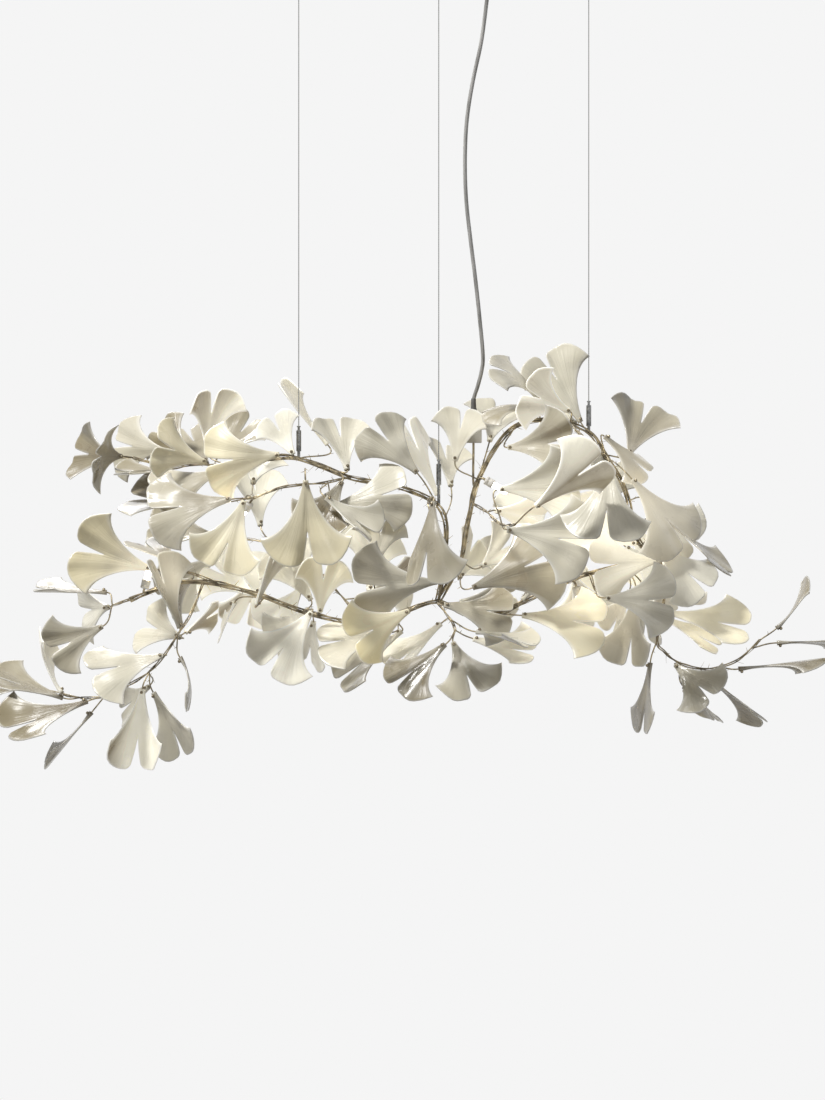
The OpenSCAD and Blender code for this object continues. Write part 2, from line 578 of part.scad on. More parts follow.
// The chamber narrows upwards, so that the balls wedge against the cable under load.
module gripper(k) at_gripper(k) rotate_extrude() polygon([
    [STUD_D / 2, 0], [gripper_d / 2, 0], [gripper_d / 2, gripper_len - 1],
    [gripper_d / 2 - 1, gripper_len], [2.1, gripper_len], [2.1, gripper_len - 3],
    [2.25, gripper_len - 4], [CHAMBER_R, gripper_len - 11], [CHAMBER_R, THREAD], [STUD_D / 2, THREAD]]);
module gripper_plunger(k) at_gripper(k) {
    rotate_extrude() polygon([
        [1, FLANGE_Z], [2.3, FLANGE_Z], [2.3, FLANGE_Z + 1.2], [1.9, FLANGE_Z + 1.2],
        [1.9, PLUNGER_TOP - 2], [3, PLUNGER_TOP - 2], [3, PLUNGER_TOP], [1, PLUNGER_TOP]]);
    for (a = [0, 120, 240]) rotate([0, 0, a]) translate([cable_d / 2 + BALL_R, 0, BALLS_Z])
        sphere(r = BALL_R);
}
module gripper_spring(k) {
    turns = 4;
    steps = 6 * turns;
    low = THREAD + 0.3;
    high = FLANGE_Z - 0.3;
    at_gripper(k) tube([for (i = [0:steps])
        [2 * cos(60 * i), 2 * sin(60 * i), low + (high - low) * i / steps]],
        even(steps + 1, 0.3), [0, 0, 1], 4);
}
module gripper_studs() difference() {
    for (k = [0:2]) translate([GRIPPERS[k][0], 0, GRIPPERS[k][1]])
        cylinder(d = STUD_D - 0.1, h = GRIPPERS[k][2] + THREAD - GRIPPERS[k][1]);
    main_tube(FRAME_RISER);
    main_tube(FRAME_ARC);
}

// ---- Cord and junction box ----
CORD_PLAY = 0.3;
CORD_LINE = [
    [CORD_X, 0, hang_drop - plate_t - TERMINAL_H - CORD_PLAY],
    each smooth(CORD, 3),
    BOX + [0, 0, BOX_SIZE.z + CAP_T],
];
module power_cord() tube(CORD_LINE, even(len(CORD_LINE), cord_d / 2), [0, 1, 0], 8);
module box_block(size, h) translate([BOX.x - size.x / 2, BOX.y - size.y / 2, BOX.z + h]) cube(size);
module junction_box() difference() {
    box_block(BOX_SIZE, 0);
    box_block([BOX_SIZE.x - 4, BOX_SIZE.y - 4, BOX_SIZE.z], 2);
}
module junction_cap() difference() {
    box_block([BOX_SIZE.x, BOX_SIZE.y, CAP_T], BOX_SIZE.z);
    translate(BOX) cylinder(d = 4, h = 100);
}
module cord_gland() translate(BOX + [0, 0, BOX_SIZE.z + CAP_T]) difference() {
    union() {
        cylinder(d = 15, h = 4, $fn = 6);
        translate([0, 0, 4]) cylinder(d = 12, h = 4);
    }
    translate([0, 0, -1]) cylinder(d = cord_d + 2 * CORD_PLAY, h = 20);
}

// ---- Ceiling plate and canopy ----
ANCHOR_D = 16;
ANCHOR_H = 14;
HOLE_R = 1.8;
SCREW_Z = -10;
SCREW_D = 3;
TAB_X = canopy_len / 2 - canopy_wall - 3;
PLATE_WID = canopy_wid - 2 * (canopy_wall + plate_gap);
BUSH_D = 18;
BUSH_BORE = 13;
module from_ceiling(x, z) translate([x, 0, z]) children();
module ceiling_plate() {
    difference() {
        translate([-TAB_X, -PLATE_WID / 2, -plate_t]) cube([2 * TAB_X, PLATE_WID, plate_t]);
        for (side = [-1, 1])
            from_ceiling(side * ceiling_screw_pitch / 2, -5) cylinder(d = ceiling_screw_bore, h = 10);
    }
    for (side = [-1, 1]) difference() {
        translate([side * TAB_X - 2 * (side + 1) / 2, -10, SCREW_Z - 6]) cube([2, 20, 14]);
        from_ceiling(side * TAB_X, SCREW_Z) rotate([0, 90, 0]) cylinder(d = SCREW_D, h = 10, center = true);
    }
}
module cable_anchors() {
    seat = PIVOT_Z - sqrt(pow(ball_d / 2, 2) - HOLE_R * HOLE_R) - 0.05;
    for (g = GRIPPERS) difference() {
        from_ceiling(g[0], -plate_t - ANCHOR_H) cylinder(d = ANCHOR_D, h = ANCHOR_H);
        from_ceiling(g[0], seat) cylinder(r = ball_d / 2 + 0.4, h = 20);
        from_ceiling(g[0], -plate_t - ANCHOR_H - 1) cylinder(r = HOLE_R, h = 20);
    }
}
module terminal_block() difference() {
    translate([CORD_X - 20, -10, -plate_t - TERMINAL_H]) cube([40, 20, TERMINAL_H]);
    for (i = [-1, 0, 1], y = [-5, 5])
        translate([CORD_X + 12 * i, y, -plate_t - TERMINAL_H - 1]) cylinder(d = 4, h = 5);
}
module canopy_screws() for (side = [-1, 1]) {
    out = canopy_len / 2 + 0.3;
    from_ceiling(side * (out - 3.5), SCREW_Z) rotate([0, 90, 0]) cylinder(d = SCREW_D, h = 7, center = true);
    from_ceiling(side * (out + 1), SCREW_Z) rotate([0, 90, 0]) cylinder(d = 7, h = 2, center = true);
}
module canopy_cover() difference() {
    translate([-canopy_len / 2, -canopy_wid / 2, -canopy_h]) cube([canopy_len, canopy_wid, canopy_h - 0.5]);
    translate([canopy_wall - canopy_len / 2, canopy_wall - canopy_wid / 2, canopy_wall - canopy_h])
        cube([canopy_len - 2 * canopy_wall, canopy_wid - 2 * canopy_wall, canopy_h]);
    for (g = GRIPPERS) from_ceiling(g[0], -canopy_h - 1) cylinder(r = 4.1, h = 5);
    from_ceiling(CORD_X, -canopy_h - 1) cylinder(d = BUSH_D - 2.8, h = 5);
    for (side = [-1, 1]) {
        from_ceiling(side * canopy_len / 2, SCREW_Z) rotate([0, 90, 0])
            cylinder(d = SCREW_D + 0.6, h = 8, center = true);
        translate([side * canopy_len / 2 - 4, -SCREW_D / 2 - 0.3, SCREW_Z]) cube([8, SCREW_D + 0.6, 12]);
    }
}
module cord_bush() from_ceiling(CORD_X, -canopy_h + canopy_wall / 2) rotate_extrude() polygon([
    [BUSH_BORE / 2, -2.5], [BUSH_D / 2, -2.5], [BUSH_D / 2, -canopy_wall / 2],
    [BUSH_D / 2 - 1.5, -canopy_wall / 2], [BUSH_D / 2 - 1.5, canopy_wall / 2],
    [BUSH_D / 2, canopy_wall / 2], [BUSH_D / 2, 2.5], [BUSH_BORE / 2, 2.5]]);
module pendant() translate([0, 0, -hang_drop]) children();

// ---- One module per piece ----
module cable_left() cable(0);
module cable_centre() cable(1);
module cable_right() cable(2);
module gripper_left() gripper(0);
module gripper_centre() gripper(1);
module gripper_right() gripper(2);
module gripper_plunger_left() gripper_plunger(0);
module gripper_plunger_centre() gripper_plunger(1);
module gripper_plunger_right() gripper_plunger(2);
module gripper_spring_left() gripper_spring(0);
module gripper_spring_centre() gripper_spring(1);
module gripper_spring_right() gripper_spring(2);
module bulb_arc() bulb(LAMPS[0]);
module bulb_right() bulb(LAMPS[1]);
module bulb_left() bulb(LAMPS[2]);
module bulb_low_left() bulb(LAMPS[3]);
module bulb_middle() bulb(LAMPS[4]);
module bulb_low_right() bulb(LAMPS[5]);
module branch_upper_left() branch(UPPER_LEFT);
module branch_mid_left() branch(MID_LEFT);
module branch_low_left() branch(LOW_LEFT);
module branch_left_tail() branch(LEFT_TAIL);
module branch_lower_middle() branch(LOWER_MIDDLE);
module branch_top() branch(TOP);
module branch_hub() branch(HUB_LEAVES);
module branch_right() branch(RIGHT);
module branch_low_right() branch(LOW_RIGHT);
module branch_right_tail() branch(RIGHT_TAIL);
module branch_back_left() branch(BACK_LEFT);
module branch_back_right() branch(BACK_RIGHT);
module leaves_upper_left() leaves(UPPER_LEFT);
module leaves_mid_left() leaves(MID_LEFT);
module leaves_low_left() leaves(LOW_LEFT);
module leaves_left_tail() leaves(LEFT_TAIL);
module leaves_lower_middle() leaves(LOWER_MIDDLE);
module leaves_top() leaves(TOP);
module leaves_hub() leaves(HUB_LEAVES);
module leaves_right() leaves(RIGHT);
module leaves_low_right() leaves(LOW_RIGHT);
module leaves_right_tail() leaves(RIGHT_TAIL);
module leaves_back_left() leaves(BACK_LEFT);
module leaves_back_right() leaves(BACK_RIGHT);

color("lightgray") ceiling_plate();
color("silver") cable_anchors();
color("white") terminal_block();
color("silver") canopy_screws();
color("whitesmoke") canopy_cover();
color("dimgray") cord_bush();
pendant() color("silver") cable_left();
pendant() color("silver") cable_centre();
pendant() color("silver") cable_right();
pendant() color("dimgray") gripper_left();
pendant() color("dimgray") gripper_centre();
pendant() color("dimgray") gripper_right();
pendant() color("silver") gripper_plunger_left();
pendant() color("silver") gripper_plunger_centre();
pendant() color("silver") gripper_plunger_right();
pendant() color("silver") gripper_spring_left();
pendant() color("silver") gripper_spring_centre();
pendant() color("silver") gripper_spring_right();
pendant() color("silver") gripper_studs();
pendant() color("gray") power_cord();
pendant() color("dimgray") cord_gland();
pendant() color("gray") junction_box();
pendant() color("gray") junction_cap();
pendant() color("darkkhaki") frame_lower();
pendant() color("darkkhaki") frame_riser();
pendant() color("darkkhaki") frame_arc();
pendant() color("darkkhaki") lamp_arms();
pendant() color("white") lamp_holders();
pendant() color("lightyellow") bulb_arc();
pendant() color("lightyellow") bulb_right();
pendant() color("lightyellow") bulb_left();
pendant() color("lightyellow") bulb_low_left();
pendant() color("lightyellow") bulb_middle();
pendant() color("lightyellow") bulb_low_right();
pendant() color("darkkhaki") branch_upper_left();
pendant() color("darkkhaki") branch_mid_left();
pendant() color("darkkhaki") branch_low_left();
pendant() color("darkkhaki") branch_left_tail();
pendant() color("darkkhaki") branch_lower_middle();
pendant() color("darkkhaki") branch_top();
pendant() color("darkkhaki") branch_hub();
pendant() color("darkkhaki") branch_right();
pendant() color("darkkhaki") branch_low_right();
pendant() color("darkkhaki") branch_right_tail();
pendant() color("darkkhaki") branch_back_left();
pendant() color("darkkhaki") branch_back_right();
pendant() color("ivory") leaves_upper_left();
pendant() color("ivory") leaves_mid_left();
pendant() color("ivory") leaves_low_left();
pendant() color("ivory") leaves_left_tail();
pendant() color("ivory") leaves_lower_middle();
pendant() color("ivory") leaves_top();
pendant() color("ivory") leaves_hub();
pendant() color("ivory") leaves_right();
pendant() color("ivory") leaves_low_right();
pendant() color("ivory") leaves_right_tail();
pendant() color("ivory") leaves_back_left();
pendant() color("ivory") leaves_back_right();
pendant() color("dimgray") leaf_screws();
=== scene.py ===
"""The look of the branch chandelier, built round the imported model.

Glazed fan leaves, twisted rods with thorns, ball-headed screws, capsule bulbs, steel cables,
the power cord and the canopy. Tables are in mm from the middle of the leaf cloud, and everything
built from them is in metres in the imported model's frame.
"""

from collections import namedtuple
from math import cos, pi, radians, sin

import bmesh
import bpy
import numpy as np
from bpy.props import FloatProperty, FloatVectorProperty, PointerProperty
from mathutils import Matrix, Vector


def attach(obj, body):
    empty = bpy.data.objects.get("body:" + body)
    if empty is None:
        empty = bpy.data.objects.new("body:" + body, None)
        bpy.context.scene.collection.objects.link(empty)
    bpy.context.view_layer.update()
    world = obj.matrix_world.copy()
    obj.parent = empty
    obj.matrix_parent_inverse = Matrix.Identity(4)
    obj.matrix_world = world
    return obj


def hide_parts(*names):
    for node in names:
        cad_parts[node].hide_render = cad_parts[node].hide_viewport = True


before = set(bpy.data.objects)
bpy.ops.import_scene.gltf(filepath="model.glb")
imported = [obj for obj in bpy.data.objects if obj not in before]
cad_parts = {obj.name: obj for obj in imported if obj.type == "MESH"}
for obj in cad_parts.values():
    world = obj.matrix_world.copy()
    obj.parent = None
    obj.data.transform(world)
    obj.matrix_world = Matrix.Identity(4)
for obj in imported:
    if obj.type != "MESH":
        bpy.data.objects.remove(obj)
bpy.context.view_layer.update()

bl_info = {
    "name": "Branch Chandelier",
    "version": (1, 0, 0),
    "blender": (4, 5, 0),
    "location": "View3D > Sidebar > Chandelier",
    "description": "Dresses the branch chandelier's frame with leaves, rods, lamps and fittings",
    "category": "Add Mesh",
}

MM = 0.001
GOLDEN = radians(137.5)

# A branch has one tint letter per leaf, its points, its stems as lists of point numbers, and its
# leaves as [point that the twig starts at, neck x, y, z, heading, lean, roll, size, cup, bend].
Branch = namedtuple("Branch", "tints points stems leaves")
BRANCHES = {
    "upper_left": Branch("dosoocttGtcgpio", [
        [-300, 20, 136], [-356, 18, 136], [-391, 14, 131], [-420, 10, 140], [-448, 8, 148],
        [-128, 0, 127], [-132, -30, 130], [-160, -42, 136], [-182, 0, 146],
    ], [[0, 1, 2, 3, 4], [5, 6, 7]], [
        [4, -478, 8, 148, 172, -46, 10, 0.9, 50, 0], [4, -466, -18, 150, 180, 62, -15, 1, 60, 20],
        [3, -399, 30, 160, 172, -35, 0, 0.95, -60, 0], [2, -398, 20, 128, 182, -3, 65, 0.72, 60, 0],
        [1, -361, 46, 152, 140, -38, 0, 0.8, 40, 0], [1, -332, -8, 140, 158, 35, 20, 0.9, -70, 0],
        [0, -308, -22, 126, 200, 10, 35, 1, -60, 0], [0, -333, 84, 140, 122, -45, 20, 0.9, 40, 0],
        [0, -329, 34, 158, 88, 8, 30, 0.95, 85, 20], [0, -314, 80, 150, 50, -20, -20, 0.85, 40, 0],
        [7, -212, -45, 152, 187, 8, -8, 1.08, -50, -15], [8, -137, 68, 170, 133, 0, 100, 1.15, 50, 10],
        [8, -190, -38, 152, 120, -4, 0, 0.65, 50, 0], [5, -104, -14, 128, 103, -30, 25, 0.9, 70, 0],
        [6, -112, -66, 108, 240, 20, 10, 0.9, 50, 10],
    ]),
    "mid_left": Branch("tdickii", [
        [-100, 0, 116], [-135, -45, 108], [-170, -70, 104], [-212, -80, 98], [-252, -80, 82],
    ], [[0, 1, 2, 3, 4]], [
        [4, -287, -95, 80, 189, 0, 32, 1.2, -60, 0], [4, -350, 30, 76, 175, -25, 50, 1.1, 60, 0],
        [4, -256, 30, 108, 83, -62, 0, 0.85, 50, 0], [4, -265, -120, 78, 249, 0, 0, 1.05, 35, 0],
        [2, -167, -180, 109, 272, 0, 0, 1.2, 30, 0], [1, -137, -105, 83, 322, 0, -50, 0.9, 110, 0],
        [1, -119, -60, 72, 12, 0, -15, 1.05, -60, 0],
    ]),
    "low_left": Branch("kdwsodpppp", [
        [-311, 0, -54], [-350, -12, -38], [-385, -14, -28], [-410, 0, -62], [-446, 0, -77],
        [-480, 0, -88], [-236, 0, -75],
    ], [[0, 1, 2], [4, 5]], [
        [2, -417, -35, -30, 163, 5, 0, 1.15, 30, 0], [5, -490, 15, -68, 177, 0, 76, 1.05, 40, 0],
        [5, -489, 30, -92, 188, -60, 0, 0.9, 50, 0], [5, -495, -22, -122, 206, 18, 0, 0.85, 40, -20],
        [1, -356, 30, -48, 210, -55, 0, 0.95, 50, 0], [2, -378, -5, -22, 150, -45, 60, 0.9, 60, 0],
        [6, -256, 22, -72, 146, -25, 0, 0.9, 50, 0], [6, -250, 55, -72, 108, -40, 30, 0.85, 50, 0],
        [6, -285, 15, -84, 245, -35, 84, 0.65, 30, 0], [6, -250, -25, -88, 69, 0, 70, 1.05, 50, 0],
    ]),
    "left_tail": Branch("podddpsiidtiG", [
        [-335, 0, -53], [-356, -20, -106], [-375, -30, -136], [-396, -30, -168], [-420, -25, -195],
        [-455, -20, -216], [-492, -15, -234], [-530, -10, -236],
    ], [[0, 1, 2, 3, 4, 5, 6, 7]], [
        [7, -560, -15, -228, 130, -20, 88, 1, 45, 40], [7, -560, 12, -237, 163, 4, 68, 1.05, 80, 0],
        [7, -625, 78, -222, 176, -20, 30, 0.7, 60, 0], [6, -516, -64, -240, 200, 16, 60, 1.28, 70, 0],
        [6, -514, 10, -260, 231, 0, 88, 1.05, 30, 0], [4, -430, -40, -222, 265, 5, 10, 1.15, 200, 0],
        [4, -415, 5, -228, 301, -5, 50, 1.02, 60, 15], [4, -425, 45, -220, 222, -40, 45, 0.75, 50, 0],
        [3, -396, -62, -168, 193, 12, 35, 1.1, -60, 0], [2, -371, -25, -171, 305, 0, 88, 0.82, 40, 55],
        [2, -370, -48, -124, 110, 5, 60, 1.1, 90, 0], [2, -374, 35, -140, 162, -48, 10, 0.9, 50, 0],
        [2, -364, 24, -132, 35, -30, 60, 0.65, 50, 0],
    ]),
    "lower_middle": Branch("aisvvwwyvi", [
        [-79, 0, -118], [-172, 0, -99], [-20, 0, -101], [-60, -60, -102], [-172, -35, -97],
        [-22, 20, -118], [-50, 0, -110],
    ], [[0, 3], [1, 4], [2, 5]], [
        [2, -6, -104, -96, 208, 12, 0, 0.95, -50, 0], [5, -36, -32, -132, 189, 0, 53, 1.05, -60, 0],
        [5, -17, 26, -130, 219, -4, 62, 1.2, 60, 0], [1, -160, 55, -116, 262, -40, 30, 0.8, 60, 0],
        [4, -160, -60, -98, 232, 5, 0, 1.08, 35, 0], [1, -168, 45, -95, 228, -30, 30, 0.9, 50, 0],
        [1, -163, 22, -80, 122, -20, 0, 0.95, 50, 0], [4, -147, -50, -98, 84, 25, 0, 0.85, 60, 0],
        [6, -70, 76, -66, 85, -20, 20, 0.95, 40, 0], [3, -58, -62, -24, 82, -20, 0, 0.75, -50, 0],
    ]),
    "top": Branch("igiiiotiiGsts", [
        [40, 0, 72], [52, 0, 48], [105, 0, 112], [164, 0, 198], [204, 0, 208], [252, 0, 202],
        [287, 0, 184], [24, -60, 76], [30, -120, 84],
    ], [[0, 7, 8]], [
        [0, 7, -34, 123, 131, 14, 10, 1, -90, -20], [0, 40, 26, 88, 113, -4, 62, 1.2, -50, 0],
        [1, 62, 88, 104, 100, -40, 40, 0.85, 50, 0], [2, 68, -8, 142, 81, 0, -15, 0.77, 75, 0],
        [2, 124, 28, 176, 75, -50, 0, 0.9, 60, 0], [4, 210, -25, 218, 152, 0, 75, 0.95, -60, -60],
        [3, 153, -45, 163, 5, 30, 0, 1.05, 50, 0], [6, 270, 22, 205, 118, 0, 30, 1.15, 30, -10],
        [5, 262, 62, 205, 150, -50, 0, 0.65, 50, 0], [5, 250, -20, 222, 158, 35, 0, 0.9, 50, 0],
        [4, 201, -18, 237, 116, 26, 76, 0.95, -40, -60], [8, 33, -150, 76, 262, 12, 40, 1.2, -80, 0],
        [7, 39, -88, -50, 185, 0, -15, 1.2, -60, 0],
    ]),
    "hub": Branch("tvovvivsov", [
        [39, 0, -83], [62, -20, -112], [68, -30, -128], [76, 0, -18], [90, 20, -104],
    ], [[0, 1, 2]], [
        [0, 50, -38, -88, 352, 0, -38, 1, -60, 0], [0, 76, 42, -84, 8, -6, 40, 0.85, 50, 0],
        [3, 95, -75, -60, 22, 0, -15, 1.3, -60, 0], [3, 76, 45, -44, 68, -40, 40, 0.85, 50, 0],
        [3, 112, 60, -26, 40, -45, 10, 0.85, 40, 0], [1, 102, -60, -130, 353, 28, -80, 0.9, 60, -15],
        [2, 97, 10, -142, 342, 0, -48, 0.92, 70, 15], [2, 65, -24, -148, 293, 32, 0, 0.95, 40, 0],
        [2, 52, -60, -150, 219, 10, 42, 0.98, -60, 0], [1, 46, 35, -118, 222, 0, 55, 1, 60, 0],
    ]),
    "right": Branch("wpGtdtvowiwi", [
        [95, 0, 76], [308, 0, 152], [332, 0, 115], [345, 0, 80], [353, 0, 40], [366, 0, 8], [396, 0, -13],
        [118, -60, 60], [140, -130, 40], [160, -200, 40], [262, -60, 188], [288, -120, 160],
        [252, 0, 202],
    ], [[0, 7, 8, 9], [12, 10, 11]], [
        [8, 137, -112, 96, 4, 4, 10, 1.15, 60, 0], [7, 132, -56, 63, 350, -40, 0, 1, 60, 0],
        [9, 190, -238, 68, 36, 5, 45, 1.2, -60, 0], [1, 346, 5, 152, 67, -42, 0, 1.1, 40, 0],
        [1, 306, -32, 181, 321, -4, -60, 0.85, -60, 0], [1, 348, -72, 112, 311, 0, -40, 1.25, -70, 0],
        [3, 378, 45, 78, 318, -15, -30, 1, 50, 0], [4, 405, 32, 50, 320, 0, -84, 1.25, 30, 0],
        [5, 385, -66, 6, 320, 5, -30, 1, -50, 0], [11, 308, -150, 136, 266, 25, 0, 1.2, -60, 0],
        [5, 356, -22, 10, 162, 13, 0, 1.1, 50, 0], [8, 148, -150, 32, 350, 0, 0, 1.2, 40, 0],
    ]),
    "low_right": Branch("ciiittig", [
        [137, 0, -102], [172, 0, -86], [212, 0, -67], [252, 0, -48], [284, 0, -37], [340, 0, -24],
        [396, 0, -13], [290, -40, -64],
    ], [[4, 7]], [
        [0, 174, -50, -104, 356, 4, -40, 1.2, -35, -10], [1, 175, -30, -80, 43, -12, 75, 0.9, 50, 0],
        [6, 392, -64, -16, 186, 12, 12, 1, -50, 0], [7, 306, -94, -76, 357, 14, 0, 1, 50, 0],
        [5, 356, -25, -66, 265, 0, 50, 1.08, 70, 0], [5, 348, 30, -66, 247, -30, 50, 0.8, 60, 0],
        [5, 372, 34, -66, 275, -35, 40, 0.85, 60, 0], [6, 400, 30, -22, 298, -40, 20, 0.95, 50, 0],
    ]),
    "right_tail": Branch("yydsotdtd", [
        [396, 0, -13], [402, -5, -80], [391, -5, -144], [404, 0, -163], [428, 0, -181], [460, 0, -190],
        [492, 0, -187], [521, 0, -176], [543, 0, -157], [556, 0, -144],
    ], [[0, 1, 2, 3, 4, 5, 6, 7, 8, 9]], [
        [1, 408, -30, -100, 349, 0, -50, 1.18, 30, 0], [1, 404, 25, -108, 331, 0, -60, 0.92, 60, 0],
        [2, 380, -8, -180, 263, 0, 74, 1.02, 40, 0], [4, 420, -22, -184, 317, 38, 0, 0.88, 35, 0],
        [4, 436, 32, -220, 315, -20, 80, 0.75, 50, 0], [5, 484, 40, -212, 322, 0, 80, 0.95, 50, 0],
        [6, 520, -20, -190, 7, 0, 86, 1.28, 30, 0], [8, 585, 22, -149, 2, 0, 86, 1.08, 30, 0],
        [9, 582, -10, -125, 40, -10, 84, 0.85, 50, -42],
    ]),
    "back_left": Branch("tvwGipg", [
        [-79, 0, -118], [-110, 75, -80], [-160, 138, -30], [-230, 178, 10], [-300, 196, 20],
    ], [[0, 1, 2, 3, 4]], [
        [4, -330, 212, 25, 170, -15, 10, 1, 50, 0], [4, -320, 192, -10, 215, 10, -30, 1, 60, 0],
        [3, -250, 205, 40, 100, -30, 30, 1, 50, 0], [3, -245, 168, -25, 250, -20, -20, 1, 60, 0],
        [2, -150, 166, -10, 60, -40, 20, 1, 60, 0], [2, -180, 132, -60, 235, -30, 20, 1, 50, 0],
        [1, -80, 108, -75, 20, -40, 30, 1, 60, 0],
    ]),
    "back_right": Branch("GpiGvgs", [
        [172, 0, -86], [190, 75, -60], [230, 138, -10], [290, 178, 30], [340, 196, 40],
    ], [[0, 1, 2, 3, 4]], [
        [4, 362, 212, 45, 300, -15, 10, 1, 50, 0], [4, 350, 192, 5, 320, 10, -30, 1, 60, 0],
        [3, 310, 205, 60, 75, -30, 30, 1, 50, 0], [3, 270, 172, -5, 280, -20, -20, 1, 60, 0],
        [2, 210, 166, 20, 110, -40, 20, 1, 60, 0], [2, 260, 132, -40, 300, -30, 20, 1, 50, 0],
        [1, 160, 108, -50, 150, -40, 30, 1, 60, 0],
    ]),
}
FRAME_RISER = [[40, 0, -80], [50, 0, -32], [54, 0, 16], [52, 0, 48], [40, 0, 72], [14, 0, 88],
    [-28, 0, 102], [-60, 0, 108], [-100, 0, 116], [-140, 0, 132], [-182, 0, 146], [-215, 6, 148],
    [-260, 14, 142], [-300, 20, 136]]
FRAME_ARC = [[43, 0, -80], [76, 0, -18], [86, 0, 32], [95, 0, 76], [105, 0, 112], [132, 0, 163],
    [164, 0, 198], [204, 0, 208], [252, 0, 202], [287, 0, 184], [308, 0, 152], [332, 0, 115],
    [345, 0, 80], [353, 0, 40], [366, 0, 8], [393, 0, -11]]
FRAME_LOWER = [[-452, 0, -80], [-410, 0, -62], [-366, 0, -51], [-311, 0, -54], [-236, 0, -75],
    [-172, 0, -99], [-79, 0, -118], [-20, 0, -101], [39, 0, -83], [90, 0, -104], [137, 0, -102],
    [172, 0, -86], [212, 0, -67], [252, 0, -48], [284, 0, -37], [340, 0, -24], [396, 0, -13],
    [404, 0, -11]]

# What each letter of the tints means: how grey-brown the glaze is, partly the leaf's own tone and partly
# painted shade; how much warm cream is mixed in, a little for the ivory of the glaze and the rest painted
# lamp light from behind; and how much painted glow stands for daylight coming through from behind. From G
# to w the leaves are pale and have ever less painted glow, i is ivory, c, k, y and a have painted lamp
# warmth, and from s to d they are ever darker, with ever more painted shade.
TINTS = {
    "G": (0.0, 0.05, 0.75), "g": (0.0, 0.05, 0.52), "p": (0.0, 0.05, 0.34), "v": (0.0, 0.06, 0.2),
    "w": (0.0, 0.08, 0.09), "i": (0.18, 0.14, 0.02), "c": (0.1, 0.62, 0.1), "k": (0.35, 0.62, 0.02),
    "y": (0.0, 0.55, 0.3), "a": (0.0, 1.0, 0.16), "s": (0.4, 0.16, 0.0), "t": (0.68, 0.16, 0.0),
    "o": (0.95, 0.2, 0.0), "d": (1.35, 0.2, 0.0),
}

# The way to the brightest part of the sky. Faces turned off it get painted shade: their glaze is mixed
# towards grey-brown.
SKY = np.array([-0.45, -0.4, 0.8])

# A lamp has the start of its arm, the middle of the back of its holder, its heading and lean, and
# how far it shines.
Lamp = namedtuple("Lamp", "start back heading lean reach")
LAMPS = {
    "bulb_arc": Lamp([105, 0, 112], [116, -20, 112], 330, 0, 1.4),
    "bulb_right": Lamp([353, 0, 40], [343, -14, 42], 175, 5, 1.8),
    "bulb_left": Lamp([-252, -80, 82], [-258, -60, 75], 235, -30, 1),
    "bulb_low_left": Lamp([-424, 0, -68], [-428, -18, -62], 75, 0, 1),
    "bulb_middle": Lamp([-79, 0, -118], [-66, 8, -108], 80, -5, 1.1),
    "bulb_low_right": Lamp([252, 0, -48], [262, 12, -58], 285, -10, 1.2),
}
HOLDER_LEN = 15
BULB_LEN = 26

# Turned pieces, as [radius, height] pairs.
HOLDER = [[5.2, 0], [6.6, 0.8], [7, 2], [7, 5.2], [6.5, 5.6], [6.5, 6.4], [7, 6.8], [7, 14.2],
          [6.6, HOLDER_LEN], [4.6, HOLDER_LEN], [4.5, 14.2]]
GLASS_R = 4.8
GLASS_FOOT = [[4.1, 5.4], [4.1, 15.2], [4.35, 15.8], [GLASS_R, 17.2], [GLASS_R, 24], [4.7, 30]]
GLASS_TIP = [[0.9, 40.9], [0.3, HOLDER_LEN + BULB_LEN]]
GLAND_NUT = [[7.3, 0], [7.5, 0.4], [7.5, 3.6], [7.3, 4]]
GLAND_SLEEVE = [[5.8, 3.8], [6, 4.2], [6, 7], [5.2, 8.6], [4.4, 11], [4.1, 18], [3.9, 26], [3.4, 26.4]]
UP = [0, 0, 1]
ARM_R = 1.9
SCREW_HEAD_R = 2.7
SCREW_STEM_R = 1.25
SCREW_AT = 5  # from the start of a leaf's neck to its screw, and to the end of its twig

# The cord's way from the terminals under the ceiling down to the junction box, above the box's cap.
BOX = [98, 30, 172]
CORD_LINE = [
    [122, 0, 970], [122, 0, 910], [119, 0, 880], [110, 0, 813], [97, 0, 752], [87, 0, 688],
    [84, 2, 624], [86, 4, 560], [93, 6, 496], [101, 10, 432], [108, 14, 368], [113, 20, 312],
    [111, 24, 288], [105, 28, 264], [98.6, 30, 244], [98, 30, 232],
]
CORD_TOP = [122, 0, 980]
CORD_FOOT = [98, 30, 217]


# ---- Points and frames ----
def to_frame(points):
    """Points in mm from the middle of the leaf cloud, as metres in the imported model's frame."""
    drop = bpy.context.scene.chandelier_sizes.drop
    return np.asarray(points, float) * MM - [0, 0, drop]


def unit(v):
    """The same direction with a length of 1."""
    v = np.asarray(v, float)
    return v / np.linalg.norm(v)


def turned(v, heading, lean):
    """The vector leaned towards the viewer, then turned to its heading in the photo's plane."""
    h, l = radians(heading), radians(lean)
    x, y, z = v
    x, y = x * cos(l) + y * sin(l), y * cos(l) - x * sin(l)
    return np.array([x * cos(h) - z * sin(h), y, x * sin(h) + z * cos(h)])


def leaf_axes(leaf):
    """Along the leaf, across it, and out of its face."""
    heading, lean, roll = leaf[4], leaf[5], radians(leaf[6])
    return np.array([
        turned([1, 0, 0], heading, lean),
        turned([0, -sin(roll), cos(roll)], heading, lean),
        turned([0, -cos(roll), -sin(roll)], heading, lean),
    ])


